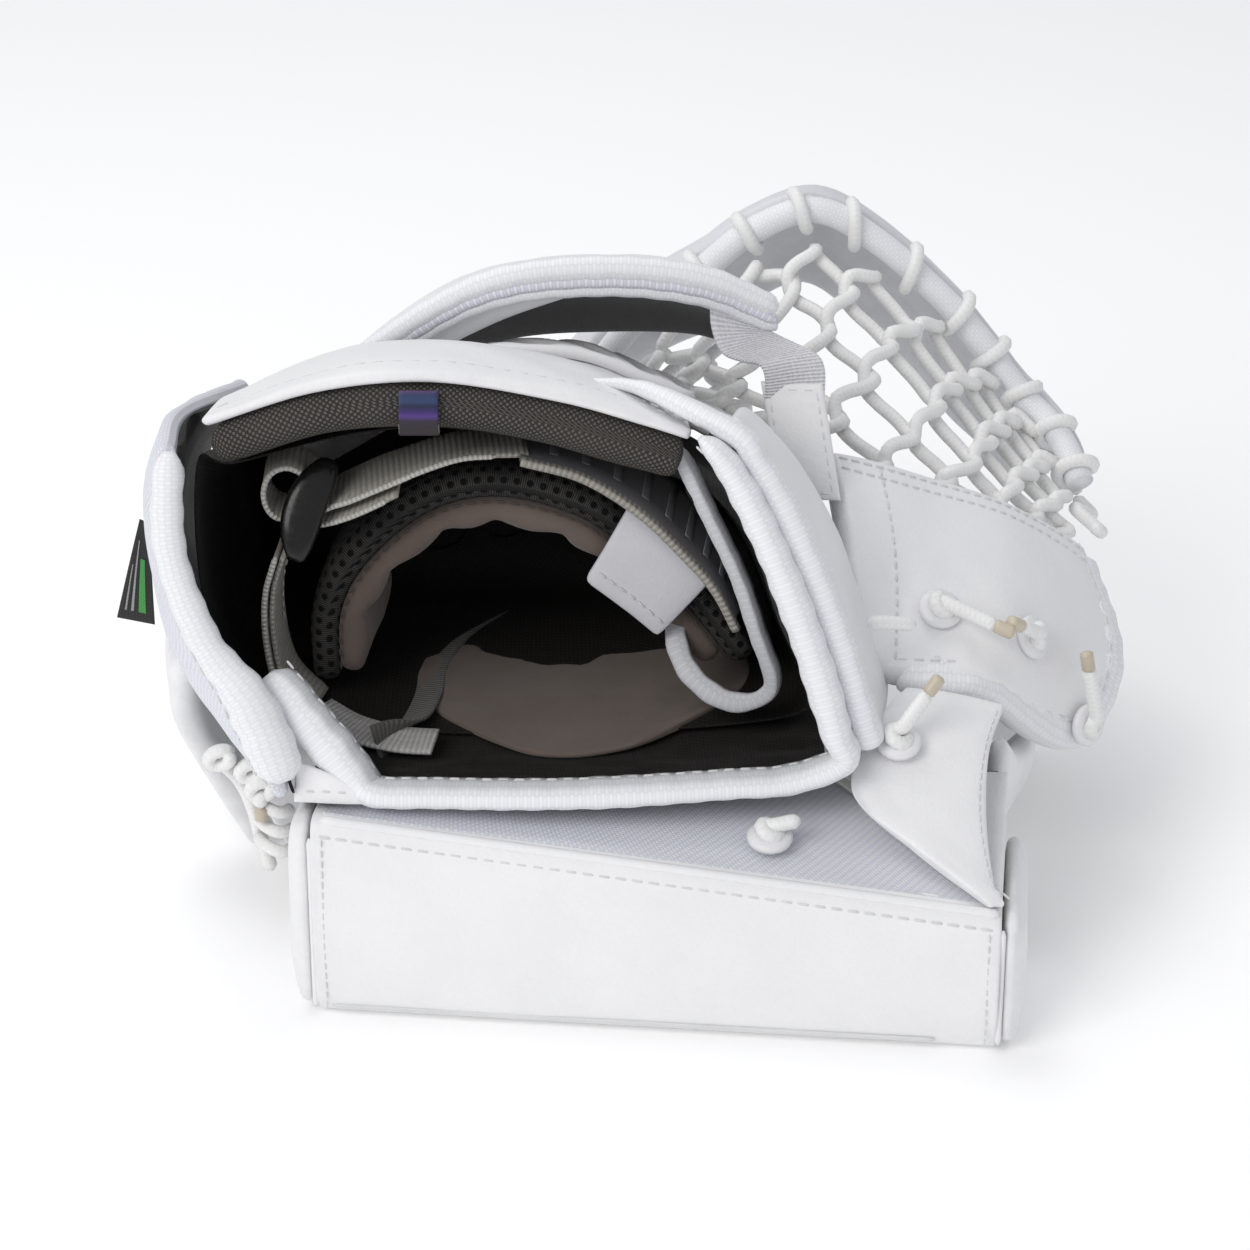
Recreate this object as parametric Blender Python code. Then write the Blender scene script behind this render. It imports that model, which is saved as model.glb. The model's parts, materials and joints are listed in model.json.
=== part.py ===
"""Ice hockey goalie catch glove for the left hand, lying catching face down.

The wrist opening faces -Y, the thumb is at +X and the fingers and pocket reach to +Y.
Lengths are millimetres in the wrist frame until add_object turns them into metres.
"""

import math

import bmesh
import bpy
from mathutils import Matrix, Vector

MM = 0.001
GAP = 0.3
# The point of the wrist frame, on the floor, that lies under the middle of the whole glove.
ORIGIN = Vector((1.8, 40.3, 0.0))

# Cuff block
CUFF_LENGTH = 206.0
CUFF_DEPTH = 62.0
CUFF_HEIGHT_LEFT = 67.0
CUFF_HEIGHT_RIGHT = 47.0
CUFF_BACK_HEIGHT = 66.0
CUFF_YAW = math.radians(-6.3)
CUFF_FRONT_MIDDLE = Vector((8.5, -109.0, 0.0))
CUFF_CORNER = 7.0

# Layers
LEATHER = 2.0
CATCHING_LEATHER = 3.0
NYLON = 1.2
BOARD = 2.0
SLEEVE_FOAM = 6.0
SLEEVE_WALL = 4.0
PALM_FOAM = 10.0
FINGER_PAD = 9.0
THUMB_PAD = 10.0
THUMB_FACE = 7.0
HAND_PANEL = 6.0
HAND_GUARD = 3.0
HAND_PAD = 9.0
HAND_LINER = 8.2
BACKHAND_PAD = 8.5
BACK_ROLL = 12.0
FLAP = 4.4
BAND = 5.0
WEBBING = 1.6
RUBBER = 2.4

# Edges, laces and sleeves
BINDING_RADIUS = 3.6
BACKHAND_BINDING_RADIUS = 4.4
ROLL_RADIUS = 4.2
LACE = 4.4
WASHER_RADIUS = 7.0
WASHER_HEIGHT = 3.2
STALL_RADIUS = 11.8
THUMB_STALL_RADIUS = 10.0
STALL_WALL = 1.6
STALL_SIDES = 12
STALL_SPACING = 22.0

# Strap slide
SLIDE_WIDTH = 34.0
SLIDE_HEIGHT = 9.0
SLIDE_SLOT_WIDTH = 26.0
SLIDE_SLOT_HEIGHT = 3.4
SLIDE_HALF_LENGTH = 5.0

# Points on the joints' axes
STILL = Vector((0.0, 0.0, 0.0))
THUMB_PIVOT = Vector((104.0, -42.0, 78.0))
BACK_PAD_PIVOT = Vector((-54.0, 8.0, 160.0))
BACKHAND_PIVOT = Vector((-94.0, 60.0, 140.0))
HAND_PAD_PIVOT = Vector((-30.0, 30.0, 118.0))
SLIDE_PIVOT = Vector((-97.0, -44.0, 145.0))
LABEL_PIVOT = Vector((-147.2, -20.0, 112.0))


def make_material(name, colour, roughness):
    """A plain material with one colour."""
    material = bpy.data.materials.new(name)
    material.use_nodes = True
    shader = material.node_tree.nodes["Principled BSDF"]
    shader.inputs["Base Color"].default_value = (*colour, 1.0)
    shader.inputs["Roughness"].default_value = roughness
    shader.inputs["Metallic"].default_value = 0.0
    material.diffuse_color = (*colour, 1.0)
    return material


def spline(points, t):
    """The point at t from 0 to 1 on a smooth curve through all of points."""
    last = len(points) - 1
    place = min(max(t, 0.0), 1.0) * last
    i = min(int(place), last - 1)
    s = place - i
    p1 = Vector(points[i])
    p2 = Vector(points[i + 1])
    p0 = Vector(points[i - 1]) if i > 0 else 2 * p1 - p2
    p3 = Vector(points[i + 2]) if i + 2 <= last else 2 * p2 - p1
    return 0.5 * (
        2 * p1
        + (p2 - p0) * s
        + (2 * p0 - 5 * p1 + 4 * p2 - p3) * s * s
        + (3 * p1 - p0 - 3 * p2 + p3) * s * s * s
    )


def along(points, count):
    """Evenly numbered points on the smooth curve through points."""
    return [spline(points, i / (count - 1)) for i in range(count)]


def surface(rows):
    """A smooth surface through rows of points: u runs along a row, v from row to row."""

    def point(u, v):
        return spline([spline(row, u) for row in rows], v)

    return point


def normal_of(point, u, v):
    """The unit normal of a surface at u and v."""
    step = 0.01
    across = point(min(u + step, 1), v) - point(max(u - step, 0), v)
    down = point(u, min(v + step, 1)) - point(u, max(v - step, 0))
    return across.cross(down).normalized()


def add_object(name, bm, material, pivot=STILL, smooth=True):
    """Turns a mesh in the wrist frame into an object whose origin is at pivot."""
    bmesh.ops.recalc_face_normals(bm, faces=bm.faces)
    bm.transform(Matrix.Translation(-pivot))
    bm.transform(Matrix.Scale(MM, 4))
    mesh = bpy.data.meshes.new(name)
    bm.to_mesh(mesh)
    bm.free()
    if smooth:
        mesh.shade_smooth()
        mesh.set_sharp_from_angle(angle=math.radians(40))
    mesh.materials.append(material)
    part = bpy.data.objects.new(name, mesh)
    part.location = (pivot - ORIGIN) * MM
    bpy.context.collection.objects.link(part)
    return part


def loft(name, rings, material, pivot=STILL, smooth=True):
    """A closed solid through rings of equally many points, capped at both ends."""
    bm = bmesh.new()
    loops = [[bm.verts.new(p) for p in ring] for ring in rings]
    count = len(loops[0])
    for one, two in zip(loops, loops[1:]):
        for i in range(count):
            j = (i + 1) % count
            bm.faces.new((one[i], one[j], two[j], two[i]))
    bm.faces.new(loops[0])
    bm.faces.new(loops[-1])
    return add_object(name, bm, material, pivot, smooth)


def sheet(name, point, near, far, material, cells, u=(0, 1), v=(0, 1), pivot=STILL):
    """A closed sheet between two offsets along a surface's normal."""
    bm = bmesh.new()
    grids = []
    for offset in (near, far):
        grid = []
        for i in range(cells[0] + 1):
            a = u[0] + (u[1] - u[0]) * i / cells[0]
            line = []
            for j in range(cells[1] + 1):
                b = v[0] + (v[1] - v[0]) * j / cells[1]
                p = point(a, b) + offset * normal_of(point, a, b)
                p.z = max(p.z, 0.0)
                line.append(bm.verts.new(p))
            grid.append(line)
        grids.append(grid)
    for grid in grids:
        for i in range(cells[0]):
            for j in range(cells[1]):
                bm.faces.new((grid[i][j], grid[i + 1][j], grid[i + 1][j + 1], grid[i][j + 1]))
    one, two = grids
    for i in range(cells[0]):
        for j in (0, cells[1]):
            bm.faces.new((one[i][j], one[i + 1][j], two[i + 1][j], two[i][j]))
    for j in range(cells[1]):
        for i in (0, cells[0]):
            bm.faces.new((one[i][j], one[i][j + 1], two[i][j + 1], two[i][j]))
    return add_object(name, bm, material, pivot)


def oval_sheet(name, point, near, far, material, middle, radii, sides=24):
    """A closed oval patch lying on a surface."""
    bm = bmesh.new()
    layers = []
    for offset in (near, far):
        centre = bm.verts.new(point(*middle) + offset * normal_of(point, *middle))
        rings = []
        for share in (0.5, 1.0):
            ring = []
            for i in range(sides):
                angle = math.tau * i / sides
                a = middle[0] + share * radii[0] * math.cos(angle)
                b = middle[1] + share * radii[1] * math.sin(angle)
                ring.append(bm.verts.new(point(a, b) + offset * normal_of(point, a, b)))
            rings.append(ring)
        layers.append((centre, rings))
    for centre, (inner, outer) in layers:
        for i in range(sides):
            j = (i + 1) % sides
            bm.faces.new((centre, inner[i], inner[j]))
            bm.faces.new((inner[i], outer[i], outer[j], inner[j]))
    top = layers[0][1][1]
    bottom = layers[1][1][1]
    for i in range(sides):
        j = (i + 1) % sides
        bm.faces.new((top[i], top[j], bottom[j], bottom[i]))
    return add_object(name, bm, material)


def tube(name, line, radius, material, sides=8, pivot=STILL):
    """A round bar along a line of points."""
    rings = []
    side = None
    for i, p in enumerate(line):
        ahead = (line[min(i + 1, len(line) - 1)] - line[max(i - 1, 0)]).normalized()
        if side is None:
            side = ahead.orthogonal().normalized()
        side = (side - ahead * side.dot(ahead)).normalized()
        other = ahead.cross(side)
        ring = []
        for k in range(sides):
            angle = math.tau * k / sides
            ring.append(p + radius * (math.cos(angle) * side + math.sin(angle) * other))
        rings.append(ring)
    return loft(name, rings, material, pivot)


def strip(name, line, widths, thickness, material, pivot=STILL):
    """A flat band along a line of points, each with its own width vector."""
    rings = []
    for i, p in enumerate(line):
        ahead = (line[min(i + 1, len(line) - 1)] - line[max(i - 1, 0)]).normalized()
        half = 0.5 * widths[i]
        up = 0.5 * thickness * ahead.cross(half).normalized()
        rings.append([p - half - up, p + half - up, p + half + up, p - half + up])
    return loft(name, rings, material, pivot)


def disc(name, middle, axis, radius, height, material, pivot=STILL, sides=16):
    """A flat round piece centred on middle."""
    axis = axis.normalized()
    line = [middle - axis * height / 2, middle + axis * height / 2]
    return tube(name, line, radius, material, sides, pivot)


def lattice(name, point, columns, rows, material):
    """A net of hexagons on a surface, made of bars joined at their crossings."""
    bm = bmesh.new()
    verts = {}

    def corner(i, j):
        if (i, j) not in verts:
            # Every other column of corners is pushed up or down to turn bricks into hexagons.
            push = 1 / 6 if (i + j) % 2 else -1 / 6
            u = i / columns
            v = (j + push + 1 / 6) / (rows + 1 / 3)
            verts[i, j] = bm.verts.new(point(u, v))
        return verts[i, j]

    for j in range(rows):
        for i in range(j % 2, columns - 1, 2):
            low = [corner(i + k, j) for k in range(3)]
            high = [corner(i + k, j + 1) for k in (2, 1, 0)]
            bm.faces.new(low + high)
    part = add_object(name, bm, material, smooth=False)
    bars = part.modifiers.new("bars", "WIREFRAME")
    bars.thickness = LACE * MM
    bars.use_boundary = True
    bars.use_replace = True
    bars.use_even_offset = False
    return part


def clear_scene():
    """Removes every object from the file."""
    for item in list(bpy.data.objects):
        bpy.data.objects.remove(item, do_unlink=True)


# Shared surfaces

FLOOR = surface([
    [(-92, -90, 73), (-16, -92, 73), (60, -87, 76)],
    [(-96, -40, 70), (-20, -40, 69), (60, -40, 73)],
    [(-96, 44, 68), (-20, 44, 69), (48, 44, 74)],
])
LEFT_WALL = surface([
    [(-99, -91, 73), (-109, -86, 102), (-122, -81, 121), (-131, -74, 146), (-131, -64, 174)],
    [(-108, -48, 71), (-131, -40, 98), (-137, -38, 122), (-138, -34, 148), (-131, -28, 170)],
    [(-112, 62, 72), (-136, 62, 92), (-140, 62, 112), (-135, 62, 130), (-122, 62, 142)],
])
RIGHT_SIDE = surface([
    [(-6, -66, 190), (24, -70, 184), (38, -74, 168), (50, -80, 144), (60, -84, 118),
     (68, -88, 92), (72, -88, 77)],
    [(-4, -40, 181), (27, -40, 174), (42, -40, 160), (55, -40, 138), (65, -40, 114),
     (74, -40, 90), (78, -40, 74)],
    [(-2, -14, 172), (29, -12, 164), (44, -12, 152), (57, -12, 132), (66, -12, 110),
     (75, -12, 88), (80, -12, 72)],
])
BACK_TOP = surface([
    [(-124, -61, 178), (-90, -61, 189), (-56, -61, 192), (-20, -61, 186), (4, -61, 179),
     (19, -61, 174)],
    [(-122, -28, 171), (-89, -28, 183), (-57, -28, 187), (-21, -28, 181), (3, -28, 173),
     (17, -28, 167)],
    [(-118, 4, 160), (-88, 4, 171), (-58, 4, 176), (-22, 4, 171), (1, 4, 162), (15, 4, 155)],
])
HAND_BACK = surface([
    [(-114, 9, 148), (-62, 9, 170), (-20, 9, 173), (6, 9, 164), (26, 9, 154), (44, 9, 142)],
    [(-108, 46, 128), (-62, 46, 154), (-20, 46, 160), (6, 42, 153), (26, 36, 146), (45, 30, 136)],
    [(-102, 86, 98), (-60, 86, 120), (-20, 82, 134), (6, 72, 138), (24, 62, 138), (44, 50, 128)],
])
BACKHAND = surface([
    [(-90, 22, 168), (-61, 20, 189), (-37, 18, 200), (-4, 18, 203), (26, 19, 199), (49, 22, 188)],
    [(-94, 56, 153), (-62, 56, 174), (-37, 56, 184), (-4, 56, 186), (25, 56, 182), (46, 56, 172)],
    [(-98, 88, 130), (-62, 90, 149), (-37, 90, 158), (-4, 88, 161), (24, 80, 163), (42, 70, 161)],
])
HAND_ARCH = surface([
    [(-98, -30, 80), (-97, -30, 106), (-86, -30, 127), (-64, -30, 146), (-40, -30, 152),
     (-14, -30, 146), (4, -30, 134), (24, -30, 114), (42, -30, 90)],
    [(-96, 0, 78), (-95, 0, 104), (-84, 0, 124), (-63, 0, 141), (-40, 0, 147),
     (-14, 0, 141), (4, 0, 130), (23, 0, 111), (41, 0, 88)],
    [(-94, 30, 76), (-92, 30, 100), (-82, 30, 118), (-62, 30, 134), (-40, 30, 139),
     (-14, 30, 134), (3, 30, 124), (22, 30, 107), (39, 30, 86)],
])
THUMB_BACK = surface([
    [(83, -46, 90), (84, -16, 115), (80, 18, 137)],
    [(95, -48, 91), (98, -16, 112), (98, 24, 129)],
    [(112, -46, 88), (120, -12, 105), (120, 30, 119)],
    [(130, -30, 66), (142, -4, 88), (138, 38, 107)],
    [(148, -16, 50), (160, 4, 72), (152, 42, 96)],
])
ROLL_LINE = [
    (-26, 132, 92), (-14, 128, 120), (4, 122, 147), (26, 119, 166), (43, 119, 180), (64, 120, 187),
    (85, 120, 176), (109, 118, 155), (123, 115, 139), (135, 108, 125), (147, 95, 115),
    (153, 80, 104),
]


def band_point(u, v):
    """The pocket band: it leaves the roll level, then curves down and away from it."""
    p = spline(ROLL_LINE, u)
    middle = Vector((64, 120, 110))
    out = Vector((p.x - middle.x, 0, p.z - middle.z)).normalized()
    side = spline([(0, 0, 0), (18, 2, 0), (44, -3, -10), (66, -8, -34)], v)
    crest = spline([(0, -1.5, -1), (18, -4, -3), (44, -12, -15), (66, -18, -36)], v)
    path = side.lerp(crest, min(max((u - 0.1) / 0.2, 0), 1))
    return p + Vector((0, path.x, path.z)) + out * (path.y + 1.5)


NET = surface([
    [(-6, 110, 120), (14, 109, 147), (38, 107, 168), (62, 107, 177), (86, 107, 165),
     (110, 105, 144), (128, 99, 125), (142, 86, 111)],
    [(-2, 100, 122), (20, 88, 138), (42, 80, 145), (65, 76, 154), (90, 76, 148),
     (113, 76, 131), (131, 74, 116), (145, 69, 105)],
    [(4, 90, 130), (26, 71, 132), (48, 54, 132), (70, 37, 134), (96, 37, 127),
     (118, 43, 116), (134, 50, 106), (147, 54, 98)],
])
FAR_NET = surface([
    [(-4, 180, 84), (14, 182, 100), (34, 182, 116), (56, 183, 126)],
    [(-6, 150, 98), (8, 144, 102), (24, 140, 106), (44, 138, 110)],
    [(-12, 123, 103), (0, 118, 106), (16, 114, 108), (34, 110, 108)],
])


def cuff_place(x, y, z):
    """A point of the cuff block, from its own length, depth and height, in the wrist frame."""
    turn = Matrix.Rotation(CUFF_YAW, 3, "Z")
    return CUFF_FRONT_MIDDLE + turn @ Vector((x, y, z))


def cuff_height(x):
    """The height of the block's front face at x."""
    share = x / CUFF_LENGTH + 0.5
    return CUFF_HEIGHT_LEFT + (CUFF_HEIGHT_RIGHT - CUFF_HEIGHT_LEFT) * share


def cuff_section(x, inset, depth):
    """The block's side outline at x: bottom, rounded front edges and sloping top."""
    height = cuff_height(x)
    radius = CUFF_CORNER - inset
    outline = [(depth, inset)]
    for angle in (270, 225, 180):
        a = math.radians(angle)
        y = CUFF_CORNER + radius * math.cos(a)
        outline.append((y, CUFF_CORNER + radius * math.sin(a)))
    for angle in (180, 135, 90):
        a = math.radians(angle)
        y = CUFF_CORNER + radius * math.cos(a)
        outline.append((y, height - CUFF_CORNER + radius * math.sin(a)))
    return outline


def build_cuff(leather, nylon, foam, board, lace):
    """The block the forearm side ends in, its gussets, and the heel of the palm behind it."""
    half = CUFF_LENGTH / 2
    stations = [half * s for s in (-1, -0.6, -0.2, 0.2, 0.6, 1)]
    rings = []
    for x in stations:
        outer = cuff_section(x, 0.0, CUFF_DEPTH)
        inner = cuff_section(x, LEATHER, CUFF_DEPTH)
        ring = outer + inner[::-1]
        rings.append([cuff_place(x, y, z) for y, z in ring])
    loft("cuff_cover", rings, leather)

    skin = LEATHER + GAP
    board_back = skin + BOARD
    rings = []
    for x in (-half + 6, half - 6):
        top = cuff_height(x) - CUFF_CORNER - 2
        corners = [(skin, CUFF_CORNER + 1), (board_back, CUFF_CORNER + 1),
                   (board_back, top), (skin, top)]
        rings.append([cuff_place(x, y, z) for y, z in corners])
    loft("cuff_board", rings, board, smooth=False)

    rings = []
    for x in (-half + 1, half - 1):
        low = skin
        front_top = cuff_height(x) - skin - 0.4
        back_top = CUFF_BACK_HEIGHT - skin - 0.4
        front = board_back + GAP
        corners = [(CUFF_CORNER + 1, low), (CUFF_DEPTH - 1, low), (CUFF_DEPTH - 1, back_top),
                   (CUFF_CORNER + 1, front_top), (front, front_top - 5), (front, low + 5)]
        rings.append([cuff_place(x, y, z) for y, z in corners])
    loft("cuff_foam", rings, foam, smooth=False)

    # The woven top panel runs from the front seam up to the opening.
    rows = []
    for y in (CUFF_CORNER + 1.5, CUFF_DEPTH):
        share = (y - CUFF_CORNER) / (CUFF_DEPTH - CUFF_CORNER)
        row = []
        for x, end in ((-half + 2, 0), (0, 0), (62 - 60 * share, 1)):
            height = cuff_height(x) + (CUFF_BACK_HEIGHT - cuff_height(x)) * share
            row.append(cuff_place(x, y, height - 0.4))
        rows.append(row)
    sheet("cuff_top_panel", surface(rows), 0, -1.4, nylon, (6, 3))

    for side, name in ((-1, "cuff_gusset_left"), (1, "cuff_gusset_right")):
        rings = []
        for reach, shrink in ((GAP, 2.5), (4.0, 5.0), (7.5, 12.0)):
            x = side * (half + reach)
            height = cuff_height(side * half)
            corners = [(shrink, shrink), (CUFF_DEPTH - shrink, shrink),
                       (CUFF_DEPTH - shrink, min(height, CUFF_BACK_HEIGHT) - shrink),
                       (shrink, height - shrink)]
            rings.append([cuff_place(x, y, z) for y, z in corners])
        loft(name, rings, leather)

    heel = surface([
        [(66, -84, 70), (80, -97, 62.5), (97, -109, 54.5), (112, -112, 50)],
        [(82, -66, 82), (92, -72, 77), (104, -80, 70.5), (114, -84, 66)],
        [(86, -52, 84), (96, -52, 84), (107, -52, 82), (117, -52, 80)],
    ])
    sheet("heel_panel", heel, 0, LEATHER, leather, (4, 4))
    gusset = surface([
        [(118.5, -54, 73), (122, -36, 60), (127, -14, 50), (135, 8, 44)],
        [(116, -52, 50), (120, -34, 42), (125, -12, 36), (134, 10, 34)],
        [(112, -48, 28), (116, -32, 24), (122, -10, 22), (132, 12, 24)],
    ])
    sheet("heel_gusset", gusset, 0, 6, leather, (4, 4), pivot=THUMB_PIVOT)

    for name, middle, tilt in (
        ("cuff_washer_front", cuff_place(33, 17, 60.5), Vector((0, -0.25, 1))),
        ("cuff_washer_side", Vector((86, -72, 84.5)), Vector((-0.3, -0.5, 1))),
    ):
        disc(name, middle, tilt, WASHER_RADIUS, WASHER_HEIGHT, lace)


def build_palm(leather, foam, suede, board, lining):
    """The floor of the sleeve, the foam below it, and the catching faces of palm and fingers."""
    sheet("sleeve_floor", FLOOR, 0, -NYLON, lining, (8, 6))
    oval_sheet("palm_liner", FLOOR, GAP, GAP + WEBBING, suede, (0.46, 0.62), (0.28, 0.34))
    under = -NYLON - GAP
    sheet("palm_foam", FLOOR, under, under - PALM_FOAM, foam, (6, 4), v=(0.57, 1.0))
    catching_face = surface([
        [(-106, -32, 20), (-60, -34, 44), (-10, -34, 52), (40, -40, 50), (92, -44, 30)],
        [(-129, 40, 18), (-74, 40, 46), (-20, 40, 53), (20, 40, 54), (62, 36, 48)],
        [(-125, 96, 18), (-76, 96, 50), (-30, 96, 60), (0, 96, 64), (30, 94, 60)],
    ])
    sheet("palm_leather", catching_face, 0, -CATCHING_LEATHER, leather, (8, 6))

    finger_face = surface([
        [(-128, 99, 18), (-86, 99, 48), (-50, 99, 66), (-14, 99, 78)],
        [(-121, 135, 18), (-84, 135, 50), (-54, 135, 74), (-22, 135, 92)],
        [(-106, 172, 14), (-78, 172, 44), (-54, 172, 66), (-26, 172, 84)],
    ])
    sheet("finger_leather", finger_face, 0, -CATCHING_LEATHER, leather, (6, 5))
    sheet("finger_board", finger_face, 2 * GAP, 2 * GAP + BOARD, board, (6, 5), u=(0.06, 0.94),
          v=(0.06, 0.94))

    side = surface([
        [(-144, -20, 82), (-144, -14, 58), (-135, 0, 28), (-121, 4, 0)],
        [(-151, 50, 78), (-152, 50, 54), (-146, 50, 26), (-134, 50, 0)],
        [(-138, 130, 68), (-140, 130, 46), (-136, 130, 22), (-128, 130, 0)],
    ])
    sheet("finger_side_pad", side, 0, FINGER_PAD, leather, (6, 6))
    tips = surface([
        [(-102, 177, 14), (-78, 178, 38), (-54, 179, 60), (-30, 179, 76)],
        [(-102, 178, 6), (-78, 181, 18), (-54, 183, 30), (-32, 183, 38)],
        [(-102, 178, 0), (-78, 182, 0), (-54, 184, 0), (-34, 184, 0)],
    ])
    sheet("finger_tip_pad", tips, 0, FINGER_PAD - 2, leather, (6, 4))


def add_stall(name, mouth, tip, radius, material, pivot=STILL):
    """A thin round sleeve, open at its mouth and closed at its tip."""
    axis = (tip - mouth).normalized()
    side = Vector((1, 0, 0.1)).normalized()
    side = (side - axis * side.dot(axis)).normalized()
    up = side.cross(axis)
    bm = bmesh.new()
    loops = []
    hollow = radius - STALL_WALL
    for middle, size in ((mouth, radius), (tip, radius), (tip - STALL_WALL * axis, hollow),
                         (mouth, hollow)):
        ring = []
        for i in range(STALL_SIDES):
            a = math.tau * i / STALL_SIDES
            ring.append(bm.verts.new(middle + size * (math.cos(a) * side + math.sin(a) * up)))
        loops.append(ring)
    for one, two in ((0, 1), (2, 3), (3, 0)):
        for i in range(STALL_SIDES):
            j = (i + 1) % STALL_SIDES
            bm.faces.new((loops[one][i], loops[one][j], loops[two][j], loops[two][i]))
    bm.faces.new(loops[1])
    bm.faces.new(loops[2])
    return add_object(name, bm, material, pivot)


def join_to(part, other):
    """Unites other with part, and leaves other in the file only as a guide."""
    join = part.modifiers.new(other.name, "BOOLEAN")
    join.operation = "UNION"
    join.object = other
    other.hide_render = True
    other.display_type = "WIRE"


def build_fingers(lining):
    """Four finger sleeves sewn side by side, open at the wrist end."""
    sleeves = []
    for k, name in enumerate(("finger_stalls", "ring_stall", "middle_stall", "index_stall")):
        mouth = Vector((-84 + STALL_SPACING * k, 54 + 0.3 * k, 96 + 4 * k))
        tip = Vector((-78 + (STALL_SPACING - 1) * k, 98 + 4 * k, 84 + 5 * k))
        sleeves.append(add_stall(name, mouth, tip, STALL_RADIUS, lining))
    for other in sleeves[1:]:
        join_to(sleeves[0], other)


def build_opening(nylon, lining):
    """The walls of the wrist sleeve and the binding round its mouth."""
    sheet("sleeve_lining_left", LEFT_WALL, 0, -NYLON, lining, (8, 4))
    sheet("sleeve_shell_left", LEFT_WALL, GAP, GAP + SLEEVE_FOAM, nylon, (8, 4))
    outer = -1.6
    inner = outer - SLEEVE_WALL
    sheet("sleeve_wall_right", RIGHT_SIDE, inner, outer, nylon, (7, 4), u=(0.3, 0.95))
    sheet("sleeve_lining_right", RIGHT_SIDE, inner - GAP - NYLON, inner - GAP, lining, (7, 4),
          u=(0.3, 0.95))

    ahead = Vector((0, -BINDING_RADIUS - 2 * GAP, 0))
    left = []
    for i in range(9):
        u = 0.1 + 0.88 * i / 8
        left.append(LEFT_WALL(u, 0) + 2.5 * normal_of(LEFT_WALL, u, 0) + ahead)
    tube("binding_left", left, BINDING_RADIUS, nylon)
    right = []
    for i in range(9):
        u = 0.3 + 0.6 * i / 8
        right.append(RIGHT_SIDE(u, 0) - 4 * normal_of(RIGHT_SIDE, u, 0) + ahead)
    bottom = [FLOOR(0.94 - 0.88 * i / 8, 0) + ahead for i in range(9)]
    tube("opening_binding", along(right + bottom, 25), BINDING_RADIUS, nylon)

    flap = surface([
        [(18, -56, 157), (31, -56, 137), (39, -54, 116), (44, -54, 96)],
        [(22, -20, 146), (35, -20, 130), (42, -20, 111), (46, -20, 93)],
    ])
    sheet("wrist_liner_flap", flap, -1, 1, nylon, (6, 2))


def build_left_edge(lace, label):
    """The lace at the little-finger side of the cuff, and the woven label above it."""
    line = along([(-130, -32, 56), (-122, -33, 48), (-118, -33, 38), (-116, -31, 26),
                  (-113, -31, 14)], 11)
    tube("side_lace", line, LACE / 2, lace)
    corners = [(-147.6, 95), (-147.6, 130), (-150, 131.5), (-159, 98)]
    rings = [[Vector((x, LABEL_PIVOT.y + y, z)) for x, z in corners] for y in (-0.5, 0.5)]
    loft("side_label", rings, label, LABEL_PIVOT, smooth=False)


def build_back_pad(leather, nylon, mesh, ribbon):
    """The pad over the back of the wrist, with the flap sewn to its thumb end."""
    pivot = BACK_PAD_PIVOT
    sheet("back_pad_leather", BACK_TOP, 0, LEATHER + 1, leather, (10, 4), pivot=pivot)
    low = -GAP
    sheet("back_pad_foam", BACK_TOP, low, low - BACK_ROLL, mesh, (10, 4), pivot=pivot)
    sheet("wrist_flap", RIGHT_SIDE, 0.2, 0.2 + FLAP, leather, (9, 4), u=(0.2, 0.93),
          v=(0.1, 0.9), pivot=pivot)
    edge = []
    for i in range(13):
        u = 0.2 + 0.73 * i / 12
        start = RIGHT_SIDE(u, 0.1) + 2.6 * normal_of(RIGHT_SIDE, u, 0.1)
        edge.append(start + Vector((0, -BINDING_RADIUS - 2 * GAP, 0)))
    tube("wrist_flap_binding", edge, BINDING_RADIUS, nylon, pivot=pivot)
    tag = [Vector((-60, -63.6, 189 - 10 * i)) for i in range(2)]
    strip("ribbon_tag", tag, [Vector((10, 0, 0))] * 2, 1.2, ribbon, pivot)


def build_hand_back(leather, relief):
    """The panel over the back of the hand, with a moulded guard on it."""
    sheet("hand_panel", HAND_BACK, 0, -HAND_PANEL, leather, (10, 5))
    sheet("hand_guard", HAND_BACK, GAP, GAP + HAND_GUARD, relief, (6, 3), u=(0.34, 0.62),
          v=(0.02, 0.5))


def build_backhand(leather, nylon, elastic):
    """The pad over the fingers. It lifts against the elastic band at its thumb end."""
    pivot = BACKHAND_PIVOT
    sheet("backhand_pad", BACKHAND, 0, -BACKHAND_PAD, leather, (10, 5), pivot=pivot)
    edge = []
    for i in range(13):
        start = BACKHAND(i / 12, 0) - 4 * normal_of(BACKHAND, i / 12, 0)
        edge.append(start + Vector((0, -BACKHAND_BINDING_RADIUS - 0.8, 0)))
    tube("backhand_binding", edge, BACKHAND_BINDING_RADIUS, nylon, pivot=pivot)
    line = along([(34, 19, 181), (34, 15, 177), (44, 12, 174), (52, 10, 172), (52, 8.5, 166)], 9)
    strip("elastic_band", line, [Vector((19, 0, -4))] * 9, 1.4, elastic)
    strap = [Vector((52, 7.5, 165)), Vector((53, 3, 150)), Vector((58, -3, 132))]
    strip("tab_strap", strap, [Vector((19, -2, 0))] * 3, 2.2, leather)


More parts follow.
